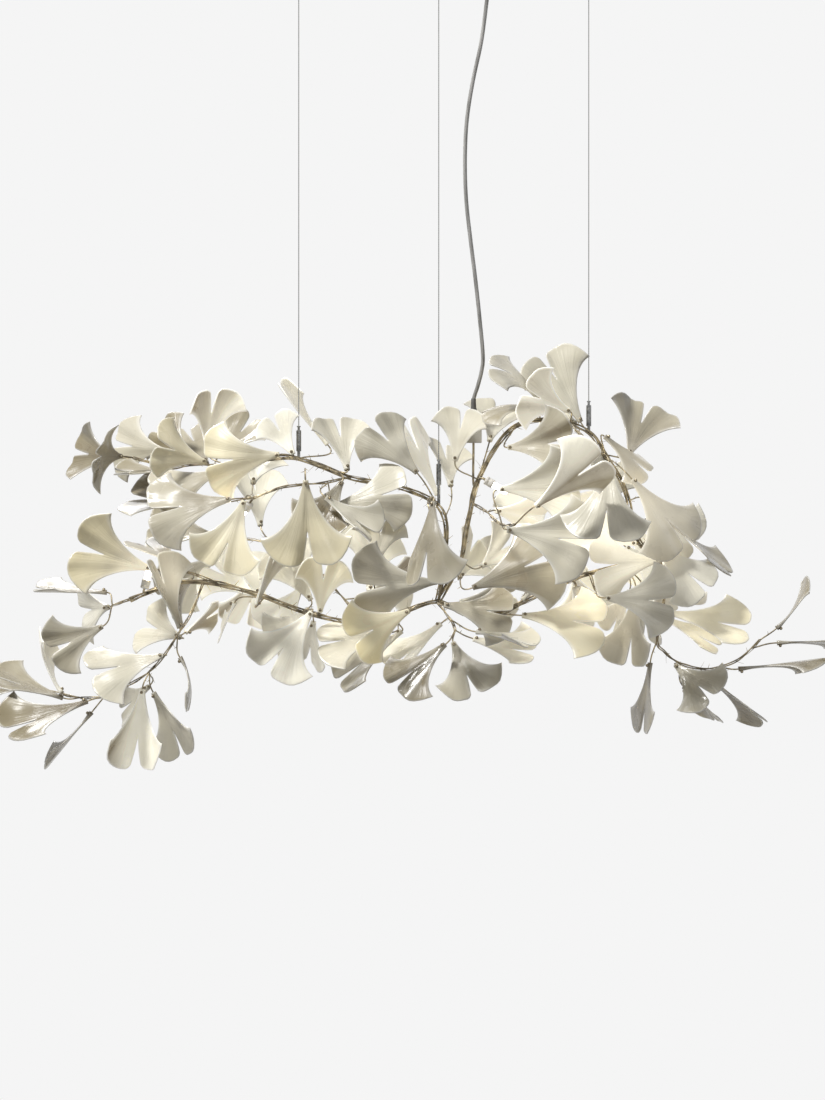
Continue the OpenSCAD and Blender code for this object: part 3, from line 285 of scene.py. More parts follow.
def smooth(points, n):
    """A smooth line through the points, with n steps between each two."""
    p = np.asarray(points, float)
    last = len(p) - 1
    line = []
    for i in range(last):
        a, b, c, d = p[max(i - 1, 0)], p[i], p[i + 1], p[min(i + 2, last)]
        for k in range(n):
            t = k / n
            line.append(0.5 * (2 * b + (c - a) * t + (2 * a - 5 * b + 4 * c - d) * t * t
                               + (3 * b - a - 3 * c + d) * t ** 3))
    line.append(p[last])
    return np.array(line)


def carried(points):
    """Two directions square to the line at each point, carried along it without twisting."""
    p = np.asarray(points, float)
    along = np.gradient(p, axis=0)
    along /= np.linalg.norm(along, axis=1)[:, None]
    side = unit(np.cross(along[0], [0.3, 0.9, 0.2]))
    sides = []
    for d in along:
        side = unit(side - side.dot(d) * d)
        sides.append(side)
    sides = np.array(sides)
    return sides, np.cross(along, sides)


def distances(line):
    """How far along the line each of its points lies."""
    return np.concatenate([[0], np.cumsum(np.linalg.norm(np.diff(line, axis=0), axis=1))])


def quads(rings, sides):
    """The faces between neighbouring rings of points."""
    faces = []
    for i in range(rings - 1):
        for k in range(sides):
            a, b = i * sides + k, i * sides + (k + 1) % sides
            faces.append((a, b, b + sides, a + sides))
    return faces


def set_numbers(mesh, name, values):
    """One number per vertex, for a finish to read."""
    mesh.attributes.new(name, "FLOAT", "POINT").data.foreach_set("value", values)


def painted_sky_shade(mesh):
    """Painted shade: how far each vertex faces away from the sky; the front and the back count alike."""
    normals = np.zeros(len(mesh.vertices) * 3)
    mesh.vertex_normals.foreach_get("vector", normals)
    normals = normals.reshape(-1, 3)
    facing = normals * [1, 0, 1] - np.abs(normals) * [0, 1, 0]
    return np.clip(0.4 - facing @ SKY, 0, 1)


class Shape:
    """Vertices in mm and faces, gathered from several solids into one mesh."""

    def __init__(self):
        self.points, self.faces, self.count = [], [], 0

    def add(self, points, faces):
        points = np.asarray(points, float)
        self.faces += [tuple(v + self.count for v in f) for f in faces]
        self.points.append(points)
        self.count += len(points)

    def rod(self, line, radius, sides=8):
        """A round rod along the line with low pointed ends; radius is one number or one per point."""
        line = np.asarray(line, float)
        radius = np.broadcast_to(np.asarray(radius, float), len(line))
        u, v = carried(line)
        turn = 2 * np.pi * np.arange(sides) / sides
        spokes = np.cos(turn)[None, :, None] * u[:, None, :] + np.sin(turn)[None, :, None] * v[:, None, :]
        rings = line[:, None, :] + spokes * radius[:, None, None]
        start = line[0] - unit(line[1] - line[0]) * radius[0] * 0.5
        end = line[-1] + unit(line[-1] - line[-2]) * radius[-1] * 0.5
        faces = quads(len(line), sides)
        tip = len(line) * sides
        for k in range(sides):
            after = (k + 1) % sides
            faces += [(tip, after, k), (tip + 1, tip - sides + k, tip - sides + after)]
        self.add(np.concatenate([rings.reshape(-1, 3), [start, end]]), faces)

    def lathe(self, profile, foot, axis, sides=16):
        """A turned solid: the profile is [radius, height] pairs from its foot along the axis."""
        axis = unit(axis)
        u = unit(np.cross(axis, [0.31, 0.87, 0.38]))
        v = np.cross(axis, u)
        turn = 2 * np.pi * np.arange(sides) / sides
        spokes = np.cos(turn)[:, None] * u + np.sin(turn)[:, None] * v
        foot = np.asarray(foot, float)
        rings = [foot + h * axis + r * spokes for r, h in profile]
        low, high = range(sides), range((len(profile) - 1) * sides, len(profile) * sides)
        faces = [tuple(low)[::-1]] + quads(len(profile), sides) + [tuple(high)]
        self.add(np.concatenate(rings), faces)

    def thorn(self, foot, direction, length, radius):
        """A short tapered prong with a slight bow."""
        direction = unit(direction)
        bow = unit(np.cross(direction, [0.2, 0.5, 0.8])) * length * 0.12
        steps = np.linspace(0, 1, 4)
        line = [np.asarray(foot) + direction * length * t + bow * t * t for t in steps]
        self.rod(line, radius * (1 - 0.6 * steps), 6)

    def piece(self, name, look, slot, nodes, body="pendant", facts=None):
        """The gathered solids as one object that rides on a body and stands for its nodes."""
        mesh = bpy.data.meshes.new(name)
        mesh.from_pydata(to_frame(np.concatenate(self.points)).tolist(), [], self.faces)
        mesh.polygons.foreach_set("use_smooth", [True] * len(mesh.polygons))
        if facts:
            for key, values in facts.items():
                set_numbers(mesh, key, values)
            set_numbers(mesh, "painted_sky_shade", painted_sky_shade(mesh))
        mesh.materials.append(finish(look))
        return placed(bpy.data.objects.new(name, mesh), body, nodes)


def placed(piece, body, nodes):
    """Puts a piece in the scene on its body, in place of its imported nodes."""
    bpy.context.scene.collection.objects.link(piece)
    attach(piece, body)
    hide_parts(*nodes)
    return piece


# ---- Leaves ----
class Fan:
    """The sheet that every leaf is made from: rows from neck to margin, and columns either side of
    the middle, which part at the slit."""

    FLARE = 1.45
    CORNER_DROP = 0.34
    SLIT_GAP = 0.105
    ROUND_NECK = 0.3  # share of the leaf's length over which the neck's round columns fade out
    THICK_NECK = 0.34  # share of it over which the neck thins down to the blade
    ROUNDED_EDGE = 3.2  # mm from the edge over which the blade thins
    COLUMNS = np.array([0, 0.025, 0.07, 0.14, 0.24, 0.36, 0.49, 0.62, 0.74, 0.85, 0.93, 0.975, 1])

    def __init__(self, slit):
        self.fork = 1 - slit
        near = np.array([0, 0.025, 0.06, 0.1, 0.16, 0.23, 0.32, 0.42, 0.53])
        far = np.array([0.03, 0.1, 0.22, 0.38, 0.55, 0.72, 0.85, 0.93, 0.975, 1])
        rows = np.concatenate([near * self.fork / 0.6, [self.fork], self.fork + far * slit])
        split, wide = len(near), len(self.COLUMNS)
        number, u, t = {}, [], []
        for i, row in enumerate(rows):
            for hand in (1, -1):
                for j in range(wide):
                    if j == 0 and hand < 0 and i <= split:
                        number[i, hand, j] = number[i, 1, 0]
                        continue
                    number[i, hand, j] = len(u)
                    u.append(row)
                    t.append(hand * self.COLUMNS[j])
        self.u, self.t = np.array(u), np.array(t)
        self.hand = np.ones(len(u))
        for (_, hand, _), n in number.items():
            self.hand[n] = hand
        faces = []
        for i in range(len(rows) - 1):
            for hand in (1, -1):
                for j in range(wide - 1):
                    f = (number[i, hand, j], number[i + 1, hand, j],
                         number[i + 1, hand, j + 1], number[i, hand, j + 1])
                    faces.append(f if hand > 0 else f[::-1])
        edges = {(f[k], f[(k + 1) % 4]) for f in faces for k in range(4)}
        size = len(u)
        rim = [(b, a, a + size, b + size) for a, b in sorted(edges) if (b, a) not in edges]
        self.faces = faces + [tuple(v + size for v in f[::-1]) for f in faces] + rim

    def solid(self, leaf, number, sizes):
        """The points of one leaf in mm, and what its glaze needs to know about each of them."""
        size, cup, bend = leaf[7], radians(leaf[8]), radians(leaf[9])
        length, phase = sizes.leaf_length / MM * size, GOLDEN * number
        neck_r, thin = sizes.neck / MM / 2, sizes.leaf_thickness / MM / 2
        u, t = self.u, np.abs(self.t)
        gap = self.SLIT_GAP * np.clip((u - self.fork) / (1 - self.fork), 0, 1) ** 0.8
        at_neck = np.clip(1 - u / self.ROUND_NECK, 0, 1)
        across = gap + (1 - gap) * (t + (np.sin(t * np.pi / 2) - t) * at_neck)
        side = self.hand * across
        s = u * (1 + (self.margin(t, across, side, phase) - 1) * u * u) * length
        half = neck_r + (size * sizes.leaf_width / MM / 2 - neck_r) * u ** self.FLARE
        arc = cup * (0.3 + 0.7 * u)
        radius = half / (arc / 2)
        a = side * arc / 2
        edge = np.minimum.reduce([
            (1 - u) * length * 1.1,
            (1 - t) * half + 0.02 * length * at_neck,
            np.where(u > self.fork, t * half, np.inf),
        ])
        rounded = np.clip(edge / self.ROUNDED_EDGE, 0, 1)
        body = np.sqrt(1 - (1 - rounded) ** 2)
        thick = thin * (0.42 + 0.58 * body)
        stout = np.clip(1 - u / self.THICK_NECK, 0, 1) ** 1.5
        thick = thick + (neck_r - thin) * stout * np.sqrt(np.clip(1 - across ** 2, 0, 1))
        wave = self.wave(leaf, across, side, phase, sizes.leaf_curl / MM)
        turn = bend * s / length
        if bend:
            spine = length / bend
            cx, cz = spine * np.sin(turn), spine * (1 - np.cos(turn))
        else:
            cx, cz = s, 0 * s
        sheets = []
        for lift in (wave + thick, wave - thick):
            y = (radius - lift) * np.sin(a)
            z = radius * (1 - np.cos(a)) + lift * np.cos(a)
            sheets.append(np.stack([cx - z * np.sin(turn), y, cz + z * np.cos(turn)], 1))
        points = np.concatenate(sheets) @ leaf_axes(leaf) + leaf[1:4]
        facts = {"along": u, "across": side, "rim": 1 - rounded}
        return points, {key: np.tile(values, 2) for key, values in facts.items()}

    def margin(self, t, across, side, phase):
        """The margin's reach as a share of the length: low corners, a notched slit, ripples."""
        reach = 1 - self.CORNER_DROP * across ** 5 - 0.03 * (1 - across) ** 4
        reach = reach - 0.05 * np.clip(1 - t / 0.14, 0, 1) ** 2
        return reach + 0.012 * np.sin(6.5 * side + phase) * (1 - across ** 4)

    def wave(self, leaf, across, side, phase, corner_curl):
        """The lift out of the leaf's face in mm: curled corners and waves, calmer on a leaf seen
        from its edge."""
        x, z, roll, size, u = leaf[1], leaf[3], leaf[6], leaf[7], self.u
        curl = np.where(self.hand > 0, sin(radians(7 * x + 11 * z)),
                        sin(radians(5 * x - 13 * z)))
        lift = size * corner_curl * curl * across ** 2 * u ** 3
        lively = size * (1 - 0.75 * abs(sin(radians(roll))))
        swell = 3 * np.sin(2.1 * np.pi * side + phase) + 1.7 * np.sin(4.4 * side - 2 * phase)
        lift = lift + lively * u * u * swell
        return lift + lively * u ** 4 * 1.2 * np.sin(4.3 * np.pi * side + 3 * phase)


def bulb_middle(lamp):
    """The middle of the part of a bulb that shows."""
    return np.array(lamp.back) + turned([1, 0, 0], lamp.heading, lamp.lean) * (HOLDER_LEN + BULB_LEN / 2)


def lamp_glow(points):
    """How strongly the bulbs shine through the glaze at each point, painted as a glow in the leaves: a
    bright spot and a wide halo.
    """
    spot, spot_mm, halo, halo_mm = 0.5, 52, 0.06, 110
    glow = np.zeros(len(points))
    for lamp in LAMPS.values():
        d = np.linalg.norm(points - bulb_middle(lamp), axis=1)
        near = spot * lamp.reach * np.exp(-(d / lamp.reach / spot_mm) ** 2)
        glow += near + halo * np.exp(-(d / halo_mm) ** 2)
    return glow


# ---- Rods ----
def twig_line(root, leaf):
    """From its branch the twig bends into the line of the leaf's neck."""
    axis = leaf_axes(leaf)[0]
    root, neck = np.asarray(root, float), np.array(leaf[1:4], float)
    reach = np.linalg.norm(neck - root)
    c1, c2 = root + 0.35 * (neck - root), neck - 0.4 * reach * axis
    t = np.linspace(0, 1, 13)[:, None]
    line = (1 - t) ** 3 * root + 3 * t * (1 - t) ** 2 * c1 + 3 * t * t * (1 - t) * c2 + t ** 3 * neck
    return np.concatenate([line, [neck + SCREW_AT * axis]])


def bundle(shape, line, count, radius, offset, pitch, phase, sides=8):
    """Rods twisted loosely round one line, each wandering a little in angle and distance."""
    u, v = carried(line)
    run = distances(line)
    for k in range(count):
        turn = phase + 2 * np.pi * (k / count + run / pitch) + 0.35 * np.sin(run / 37 + 2 * k)
        out = offset * (1 + 0.12 * np.sin(run / 23 + k))
        shift = u * (out * np.cos(turn))[:, None] + v * (out * np.sin(turn))[:, None]
        shape.rod(line + shift, radius, sides)


def thorns(shape, line, spacing, reach, radius, start):
    """Prongs at even steps along the line, each turned on from the last."""
    u, v = carried(line)
    run = distances(line)
    for k in range(int(run[-1] // spacing)):
        at = (k + 0.6) * spacing
        i = min(int(np.searchsorted(run, at)), len(line) - 2)
        along = unit(line[i + 1] - line[i])
        angle = start + GOLDEN * k
        out = cos(angle) * u[i] + sin(angle) * v[i]
        length = reach * (0.75 + 0.5 * ((k * 7) % 5) / 4)
        shape.thorn(line[i], out * 0.85 + along * 0.5, length + radius, radius * 0.55)


# ---- Finishes ----
class Value:
    """A number or colour in a node tree; arithmetic on it adds Math nodes."""

    def __init__(self, nodes, socket):
        self.nodes, self.socket = nodes, socket

    def __add__(self, other):
        return self.nodes.maths("ADD", self, other)

    __radd__ = __add__

    def __sub__(self, other):
        return self.nodes.maths("SUBTRACT", self, other)

    def __rsub__(self, other):
        return self.nodes.maths("SUBTRACT", other, self)

    def __mul__(self, other):
        return self.nodes.maths("MULTIPLY", self, other)


class Nodes:
    """The node tree of a material or a world."""

    def __init__(self, owner, output):
        owner.use_nodes = True
        self.tree = owner.node_tree
        self.tree.nodes.clear()
        self.surface = self.tree.nodes.new(output).inputs[0]

    def node(self, kind, settings=None, inputs=None, out=0):
        """A node with its settings and inputs; what it gives is one of its outputs."""
        node = self.tree.nodes.new(kind)
        for key, value in (settings or {}).items():
            setattr(node, key, value)
        for key, value in (inputs or {}).items():
            self.feed(node.inputs[key], value)
        return Value(self, node.outputs[out])

    def feed(self, socket, value):
        if isinstance(value, Value):
            self.tree.links.new(value.socket, socket)
        else:
            socket.default_value = value

    def maths(self, operation, *values):
        return self.node("ShaderNodeMath", {"operation": operation}, dict(enumerate(values)))


class Finish(Nodes):
    """One material, built round a Principled shader."""

    def __init__(self, name, **constants):
        self.material = bpy.data.materials.new(name)
        super().__init__(self.material, "ShaderNodeOutputMaterial")
        self.shader = self.tree.nodes.new("ShaderNodeBsdfPrincipled")
        self.tree.links.new(self.shader.outputs[0], self.surface)
        for key, value in constants.items():
            self.shader.inputs[key.replace("_", " ")].default_value = value
        self.place = self.node("ShaderNodeTexCoord", out="Object")

    def attribute(self, name):
        return self.node("ShaderNodeAttribute", {"attribute_name": name}, out="Fac")

    def noise(self, scale, detail=3.0, vector=None):
        return self.node("ShaderNodeTexNoise", None, {
            "Vector": vector or self.place, "Scale": scale, "Detail": detail})

    def mix(self, factor, a, b):
        """Two colours mixed by a factor."""
        return self.node("ShaderNodeMix", {"data_type": "RGBA", "clamp_factor": True},
                         {0: factor, 6: a, 7: b}, out=2)

    def between(self, value, low, high):
        """0 below low, 1 above high and straight between them."""
        return self.node("ShaderNodeMapRange", None, {0: value, 1: low, 2: high, 3: 0.0, 4: 1.0})

    def bump(self, height, distance, strength):
        bumped = self.node("ShaderNodeBump", None, {
            "Height": height, "Distance": distance, "Strength": strength}, out="Normal")
        self.feed(self.shader.inputs["Normal"], bumped)

    def set(self, **values):
        """Feeds the shader's inputs, and gives the finished material."""
        for key, value in values.items():
            self.feed(self.shader.inputs[key.replace("_", " ")], value)
        return self.material


def rgba(colour):
    """The colour, opaque."""
    return (*colour, 1.0)


def glazed_porcelain(colours):
    """Pale mottled glaze with painted light: taupe for painted shade and for darker leaves' own tone,
    painted cream and glow where a lamp is near, a painted pale rim, and painted daylight glow.
    """
    f = Finish("glazed_porcelain", Coat_Roughness=0.12, Emission_Strength=1.0, IOR=1.5)
    facts = ("shade", "warm", "glow", "rim", "along", "across", "painted_sky_shade", "through")
    shade, warm, glow, rim, along, across, painted_off_sky, through = (f.attribute(name) for name in facts)
    mottle = f.between(f.noise(26.0), 0.35, 0.7)
    cloud = f.between(f.noise(9.0, 2.0), 0.3, 0.75)
    white, taupe, cream = rgba(colours.glaze), rgba(colours.glaze_shade), rgba(colours.glaze_warm)
    # Painted shade: each leaf's listed darkness, partly the glaze's own tone, and faces turned from the
    # sky mix the glaze towards taupe.
    tone_and_painted_shade = shade * (0.65 + cloud * 0.7) + painted_off_sky * (0.85 + cloud * 0.5)
    glaze = f.mix(tone_and_painted_shade, white, taupe)
    glaze = f.mix(mottle * 0.16, glaze, rgba(colours.glaze_green))
    # Painted lamp light: cream mixed in by the leaf's warmth, more towards the margin; a little of it is
    # the ivory of the glaze itself.
    glaze = f.mix(warm * (0.75 + cloud * 0.3) * (0.45 + along * 0.55), glaze, cream)
    # Painted highlight: the thin margin is mixed towards a pale colour.
    glaze = f.mix(rim * 0.55, glaze, rgba(colours.painted_rim_light))
    ribs_at = f.node("ShaderNodeCombineXYZ", None, {0: across * 16.0, 1: along * 1.4, 2: shade * 9.0})
    ribs = f.noise(1.0, 2.0, ribs_at)
    ripples = f.noise(55.0, 2.0)
    swell = f.noise(12.0, 1.0)
    f.bump(swell * 30.0 + ribs * 0.75 + ripples * 0.35, 0.0014, 0.8)
    # Painted glow, though the leaves are no lamps: the glaze shines out as daylight through pale leaves,
    # and as lamp light near the bulbs.
    daylight = f.mix(through, (0.0, 0.0, 0.0, 1.0), glaze)
    lit = f.mix(glow, daylight, rgba(colours.lamp_light))
    return f.set(Base_Color=glaze, Roughness=0.26 + mottle * 0.12, Coat_Weight=0.35 + cloud * 0.25,
                 Emission_Color=lit)


def brushed(name, dark, light, roughness, grain, depth=0.0003):
    """A worn metal: the light colour shows where the grain has rubbed through the dark one."""
    f = Finish(name, Metallic=1.0)
    worn = f.between(f.noise(grain, 4.0), 0.36, 0.85)
    cast = f.noise(grain * 6, 2.0)
    f.bump(cast, depth, 0.6)
    return f.set(Base_Color=f.mix(worn, rgba(dark), rgba(light)),
                 Roughness=roughness + cast * 0.16 - worn * 0.06)


def moulded(name, dark, light, roughness, grain=300.0, coat=0.0):
    """A painted, moulded or fired surface with a fine skin."""
    f = Finish(name, Coat_Weight=coat)
    skin = f.noise(grain, 3.0)
    patch = f.between(f.noise(14.0, 2.0), 0.3, 0.75)
    f.bump(skin, 0.00008, 0.6)
    return f.set(Base_Color=f.mix(patch, rgba(dark), rgba(light)), Roughness=roughness + skin * 0.12)


def stranded_steel(colours):
    """Fine strands laid round each cable, with painted shade in the grooves between them."""
    f = Finish("stranded_steel", Metallic=1.0)
    height = f.node("ShaderNodeSeparateXYZ", None, {0: f.place}, out=2)
    strand = f.maths("SINE", height * 2200.0 + f.noise(40.0, 1.0) * 4.0)
    lay = strand * 0.5 + 0.5
    f.bump(lay, 0.0002, 0.8)
    # Painted shade: the grooves between strands take the dark steel.
    return f.set(Base_Color=f.mix(lay, rgba(colours.steel_dark), rgba(colours.steel)),
                 Roughness=0.42 - lay * 0.14)


def frosted_bulb(colours):
    """Frosted glass with its light on."""
    f = Finish("frosted_bulb", Emission_Strength=22.0, Roughness=0.4)
    frost = f.noise(900.0, 2.0)
    f.bump(frost, 0.00005, 0.5)
    return f.set(Base_Color=f.mix(frost, (0.9, 0.88, 0.84, 1.0), (1.0, 0.98, 0.95, 1.0)),
                 Emission_Color=f.mix(frost * 0.4, rgba(colours.lamp_light), (1.0, 1.0, 1.0, 1.0)))


def cord_jacket(colours):
    """A clear jacket over grey cores: lengthwise streaks under a soft gloss."""
    f = Finish("cord_jacket", Coat_Weight=0.5, Coat_Roughness=0.15)
    stretched = f.node("ShaderNodeMapping", None, {0: f.place, 3: (300.0, 300.0, 6.0)})
    streak = f.between(f.noise(1.0, 2.0, stretched), 0.35, 0.65)
    f.bump(f.noise(700.0, 2.0), 0.00006, 0.5)
    return f.set(Base_Color=f.mix(streak, rgba(colours.cord_dark), rgba(colours.cord)),
                 Roughness=0.38 - streak * 0.1)


FINISHES = {}


def finish(name):
    """Each finish is made once, when the first piece asks for it."""
    if name not in FINISHES:
        c = bpy.context.scene.chandelier_colours
        metals = {
            "aged_bronze": (c.bronze_dark, c.bronze, 0.3, 70.0, 0.0004),
            "screw_bronze": ((0.16, 0.135, 0.095), (0.46, 0.39, 0.27), 0.22, 260.0),
            "satin_nickel": (c.steel_dark, c.steel, 0.2, 160.0, 0.0001),
            "galvanised": ((0.42, 0.43, 0.44), (0.62, 0.63, 0.64), 0.38, 45.0),
        }
        coatings = {
            "cover_paint": (c.cover, [v * 1.03 for v in c.cover], 0.32, 420.0, 0.2),
            "box_paint": ((0.4, 0.38, 0.34), (0.48, 0.46, 0.41), 0.4, 500.0),
            "terminal_plastic": ((0.72, 0.72, 0.7), (0.8, 0.8, 0.78), 0.5),
            "black_rubber": ((0.07, 0.068, 0.064), (0.11, 0.107, 0.1), 0.6),
            "fired_clay": ((0.78, 0.75, 0.69), (0.88, 0.86, 0.81), 0.55, 600.0),
            "floor_paint": ((0.86, 0.86, 0.86), (0.88, 0.88, 0.88), 0.7),
        }
        own = {f.__name__: f for f in (glazed_porcelain, stranded_steel, frosted_bulb, cord_jacket)}
        if name in metals:
            FINISHES[name] = brushed(name, *metals[name])
        elif name in coatings:
            FINISHES[name] = moulded(name, *coatings[name])
        else:
            FINISHES[name] = own[name](c)
    return FINISHES[name]


def dress(nodes, name):
    """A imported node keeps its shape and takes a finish."""
    for n in nodes:
        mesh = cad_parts[n].data
        mesh.materials.clear()
        mesh.materials.append(finish(name))


def softened(node, name, body, edge):
    """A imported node's own shape with its sharp edges eased, as pressed or moulded pieces have."""
    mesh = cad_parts[node].data.copy()
    mesh.name = node + "_eased"
    work = bmesh.new()
    work.from_mesh(mesh)
    bmesh.ops.remove_doubles(work, verts=work.verts, dist=1e-6)
    bmesh.ops.dissolve_limit(work, angle_limit=radians(1.5), verts=work.verts, edges=work.edges)
    work.to_mesh(mesh)
    work.free()
    mesh.materials.clear()
    mesh.materials.append(finish(name))
    piece = placed(bpy.data.objects.new(node + "_eased", mesh), body, [node])
    ease = piece.modifiers.new("eased_edges", "BEVEL")
    ease.width, ease.segments, ease.limit_method = edge, 2, "ANGLE"
    ease.angle_limit = radians(50)
    ease.harden_normals = True


# ---- Sizes and colours ----
def length(name, description, default):
    return FloatProperty(name=name, description=description, default=default, min=0.0001,
                         unit="LENGTH", subtype="DISTANCE", precision=5)


def colour(name, description, default):
    return FloatVectorProperty(name=name, description=description, default=default, size=3,
                               min=0.0, max=1.0, subtype="COLOR")


class ChandelierSizes(bpy.types.PropertyGroup):
    drop: length("Drop", "From the ceiling to the middle of the leaf cloud", 0.99)
    leaf_length: length("Leaf length", "From neck to margin, of a leaf of size 1", 0.112)
    leaf_width: length("Leaf width", "Across the corners of a leaf of size 1", 0.12)
    leaf_curl: length("Leaf curl", "How far the corners of a leaf curl out of its face", 0.009)
    leaf_thickness: length("Leaf thickness", "Of the blade", 0.0024)
    neck: length("Neck", "Diameter of a leaf's neck", 0.0084)
    slit: FloatProperty(name="Slit", description="Depth of the slit as a share of the leaf",
                        default=0.38, min=0.2, max=0.5, subtype="FACTOR")
    main_rod: length("Main rod", "Diameter of one rod of a main branch", 0.0026)
    side_rod: length("Side rod", "Diameter of one rod of a side branch", 0.0021)
    twig: length("Twig", "Diameter of a twig", 0.0024)
    wire: length("Wire", "Diameter of the thin wires round the branches", 0.001)
    thorn: length("Thorn", "Length of a thorn", 0.007)
    cord: length("Cord", "Diameter of the power cord", 0.0064)


class ChandelierColours(bpy.types.PropertyGroup):
    glaze: colour("Glaze", "Pale glaze", (0.9, 0.867, 0.745))
    # Taupe of the grey-brown glaze, also used for the painted shade on the leaves.
    glaze_shade: colour("Shaded glaze", "Grey-brown glaze", (0.135, 0.104, 0.068))
    glaze_green: colour("Mottled glaze", "Faint olive mottling", (0.66, 0.64, 0.46))
    glaze_warm: colour("Warm glaze", "Glaze warmed by a lamp behind it", (0.92, 0.79, 0.43))
    # Colour of the painted highlight on a leaf's margin.
    painted_rim_light: colour("Rim", "Thin margin of a leaf", (0.9, 0.89, 0.85))
    lamp_light: colour("Lamp light", "Light through the glaze", (1.0, 0.92, 0.73))
    bronze: colour("Bronze", "Rubbed bronze of the branches", (0.74, 0.62, 0.40))
    bronze_dark: colour("Dark bronze", "Patina of the branches", (0.13, 0.11, 0.078))
    steel: colour("Steel", "Bright steel and nickel", (0.4, 0.4, 0.39))
    # Also the painted shade in the grooves of the cables.
    steel_dark: colour("Dark steel", "Steel in the grooves", (0.12, 0.12, 0.117))
    cover: colour("Cover", "Paint of the canopy cover", (0.84, 0.84, 0.83))
    cord: colour("Cord", "Cord's pale streaks", (0.42, 0.41, 0.39))
    cord_dark: colour("Dark cord", "Cord's dark streaks", (0.2, 0.195, 0.185))
    background: colour("Background", "Wall behind the part", (0.913, 0.913, 0.913))


# ---- Pieces ----
class CHANDELIER_OT_stage(bpy.types.Operator):
    """Camera, lamps, world and floor"""

    bl_idname = "chandelier.stage"
    bl_label = "Stage"

    def execute(self, context):
        scene = context.scene
        drop = scene.chandelier_sizes.drop
        photo_px, mm_per_px = 825, 1.6
        distance, seen_width, sensor = 7.5, photo_px * mm_per_px * MM, 36.0
        lens = bpy.data.cameras.new("camera")
        lens.sensor_fit, lens.sensor_width = "HORIZONTAL", sensor
        lens.lens = sensor * distance / seen_width
        camera = bpy.data.objects.new("camera", lens)
        camera.location = (0, -distance, -drop)
        camera.rotation_euler = (pi / 2, 0, 0)
        scene.collection.objects.link(camera)
        scene.camera = camera

        for name, place, power, size in (
            ("key_lamp", (-1.9, -1.7, 2.4), 178.0, 0.7),
            ("front_lamp", (-1.8, -4.0, -0.2), 9.0, 1.4),
            ("side_lamp", (3.4, -1.0, 0.6), 9.0, 1.4),
            ("back_lamp", (-1.2, 3.0, 1.4), 38.0, 1.4),
        ):
            light = bpy.data.lights.new(name, "AREA")
            light.energy, light.size = power, size
            lamp = bpy.data.objects.new(name, light)
            lamp.location = place
            aim = Vector((0, 0, -drop)) - lamp.location
            lamp.rotation_euler = aim.to_track_quat("-Z", "Y").to_euler()
            scene.collection.objects.link(lamp)

        self.light_room(scene)

        mesh = bpy.data.meshes.new("floor")
        sides, radius, height = 96, 3.2, -2.4
        turn = np.linspace(0, 2 * np.pi, sides, endpoint=False)
        disc = np.stack([radius * np.cos(turn), radius * np.sin(turn), 0 * turn + height], 1)
        mesh.from_pydata(disc.tolist(), [], [tuple(range(sides))])
        mesh.materials.append(finish("floor_paint"))
        floor = bpy.data.objects.new("floor", mesh)
        scene.collection.objects.link(floor)
        scene.view_settings.view_transform = "Standard"
        return {"FINISHED"}

    def light_room(self, scene):
        """An even wall for the camera, reflections and clear pieces, and as light a dim room that
        is brightest above."""
        world = bpy.data.worlds.new("studio")
        scene.world = world
        room = Nodes(world, "ShaderNodeOutputWorld")
        camera, glossy, clear = (room.node("ShaderNodeLightPath", out="Is %s Ray" % kind)
                                 for kind in ("Camera", "Glossy", "Transmission"))
        seen = room.maths("MAXIMUM", room.maths("MAXIMUM", camera, glossy), clear)
        direction = room.node("ShaderNodeTexCoord", out="Generated")
        upward = room.node("ShaderNodeSeparateXYZ", None, {0: direction}, out=2)
        ramp = room.node("ShaderNodeValToRGB", None, {0: room.maths("MULTIPLY_ADD", upward, 0.5, 0.5)})
        low, high = ramp.socket.node.color_ramp.elements
        low.position, low.color = 0.15, (0.26, 0.215, 0.15, 1)
        high.position, high.color = 0.9, (0.95, 0.95, 0.95, 1)
        dim = room.node("ShaderNodeBackground", None, {0: ramp, 1: 0.1})
        wall = room.node("ShaderNodeBackground", None, {0: rgba(scene.chandelier_colours.background)})
        room.feed(room.surface, room.node("ShaderNodeMixShader", None, {0: seen, 1: dim, 2: wall}))


class CHANDELIER_OT_cord(bpy.types.Operator):
    """The power cord from the ceiling terminals to the junction box"""

    bl_idname = "chandelier.cord"
    bl_label = "Power cord"

    def execute(self, context):
        thick = context.scene.chandelier_sizes.cord
        line = to_frame(np.concatenate([[CORD_TOP], smooth(CORD_LINE, 6), [CORD_FOOT]]))
        curve = bpy.data.curves.new("power_cord", "CURVE")
        curve.dimensions, curve.bevel_depth, curve.bevel_resolution = "3D", thick / 2, 5
        curve.use_fill_caps = True
        spline = curve.splines.new("POLY")
        spline.points.add(len(line) - 1)
        for point, co in zip(spline.points, line):
            point.co = (*co, 1)
        spline.use_smooth = True
        curve.materials.append(finish("cord_jacket"))
        cord = bpy.data.objects.new("power_cord_jacket", curve)
        placed(cord, "pendant", ["power_cord"])
        return {"FINISHED"}


class CHANDELIER_OT_leaves(bpy.types.Operator):
    """Every leaf of every branch"""

    bl_idname = "chandelier.leaves"
    bl_label = "Leaves"

    def execute(self, context):
        sizes = context.scene.chandelier_sizes
        fan = Fan(sizes.slit)
        number = 0
        for name, branch in BRANCHES.items():
            shape, known = Shape(), {}
            for leaf, tint in zip(branch.leaves, branch.tints):
                number += 1
                points, facts = fan.solid(leaf, number, sizes)
                for key, value in zip(("shade", "warm", "through"), TINTS[tint]):
                    facts[key] = np.full(len(points), value)
                facts["glow"] = lamp_glow(points)
                shape.add(points, fan.faces)
                for key, values in facts.items():
                    known.setdefault(key, []).append(values)
            known = {key: np.concatenate(values) for key, values in known.items()}
            node = "leaves_" + name
            shape.piece("fan_" + node, "glazed_porcelain", "porcelain", [node], facts=known)
        return {"FINISHED"}


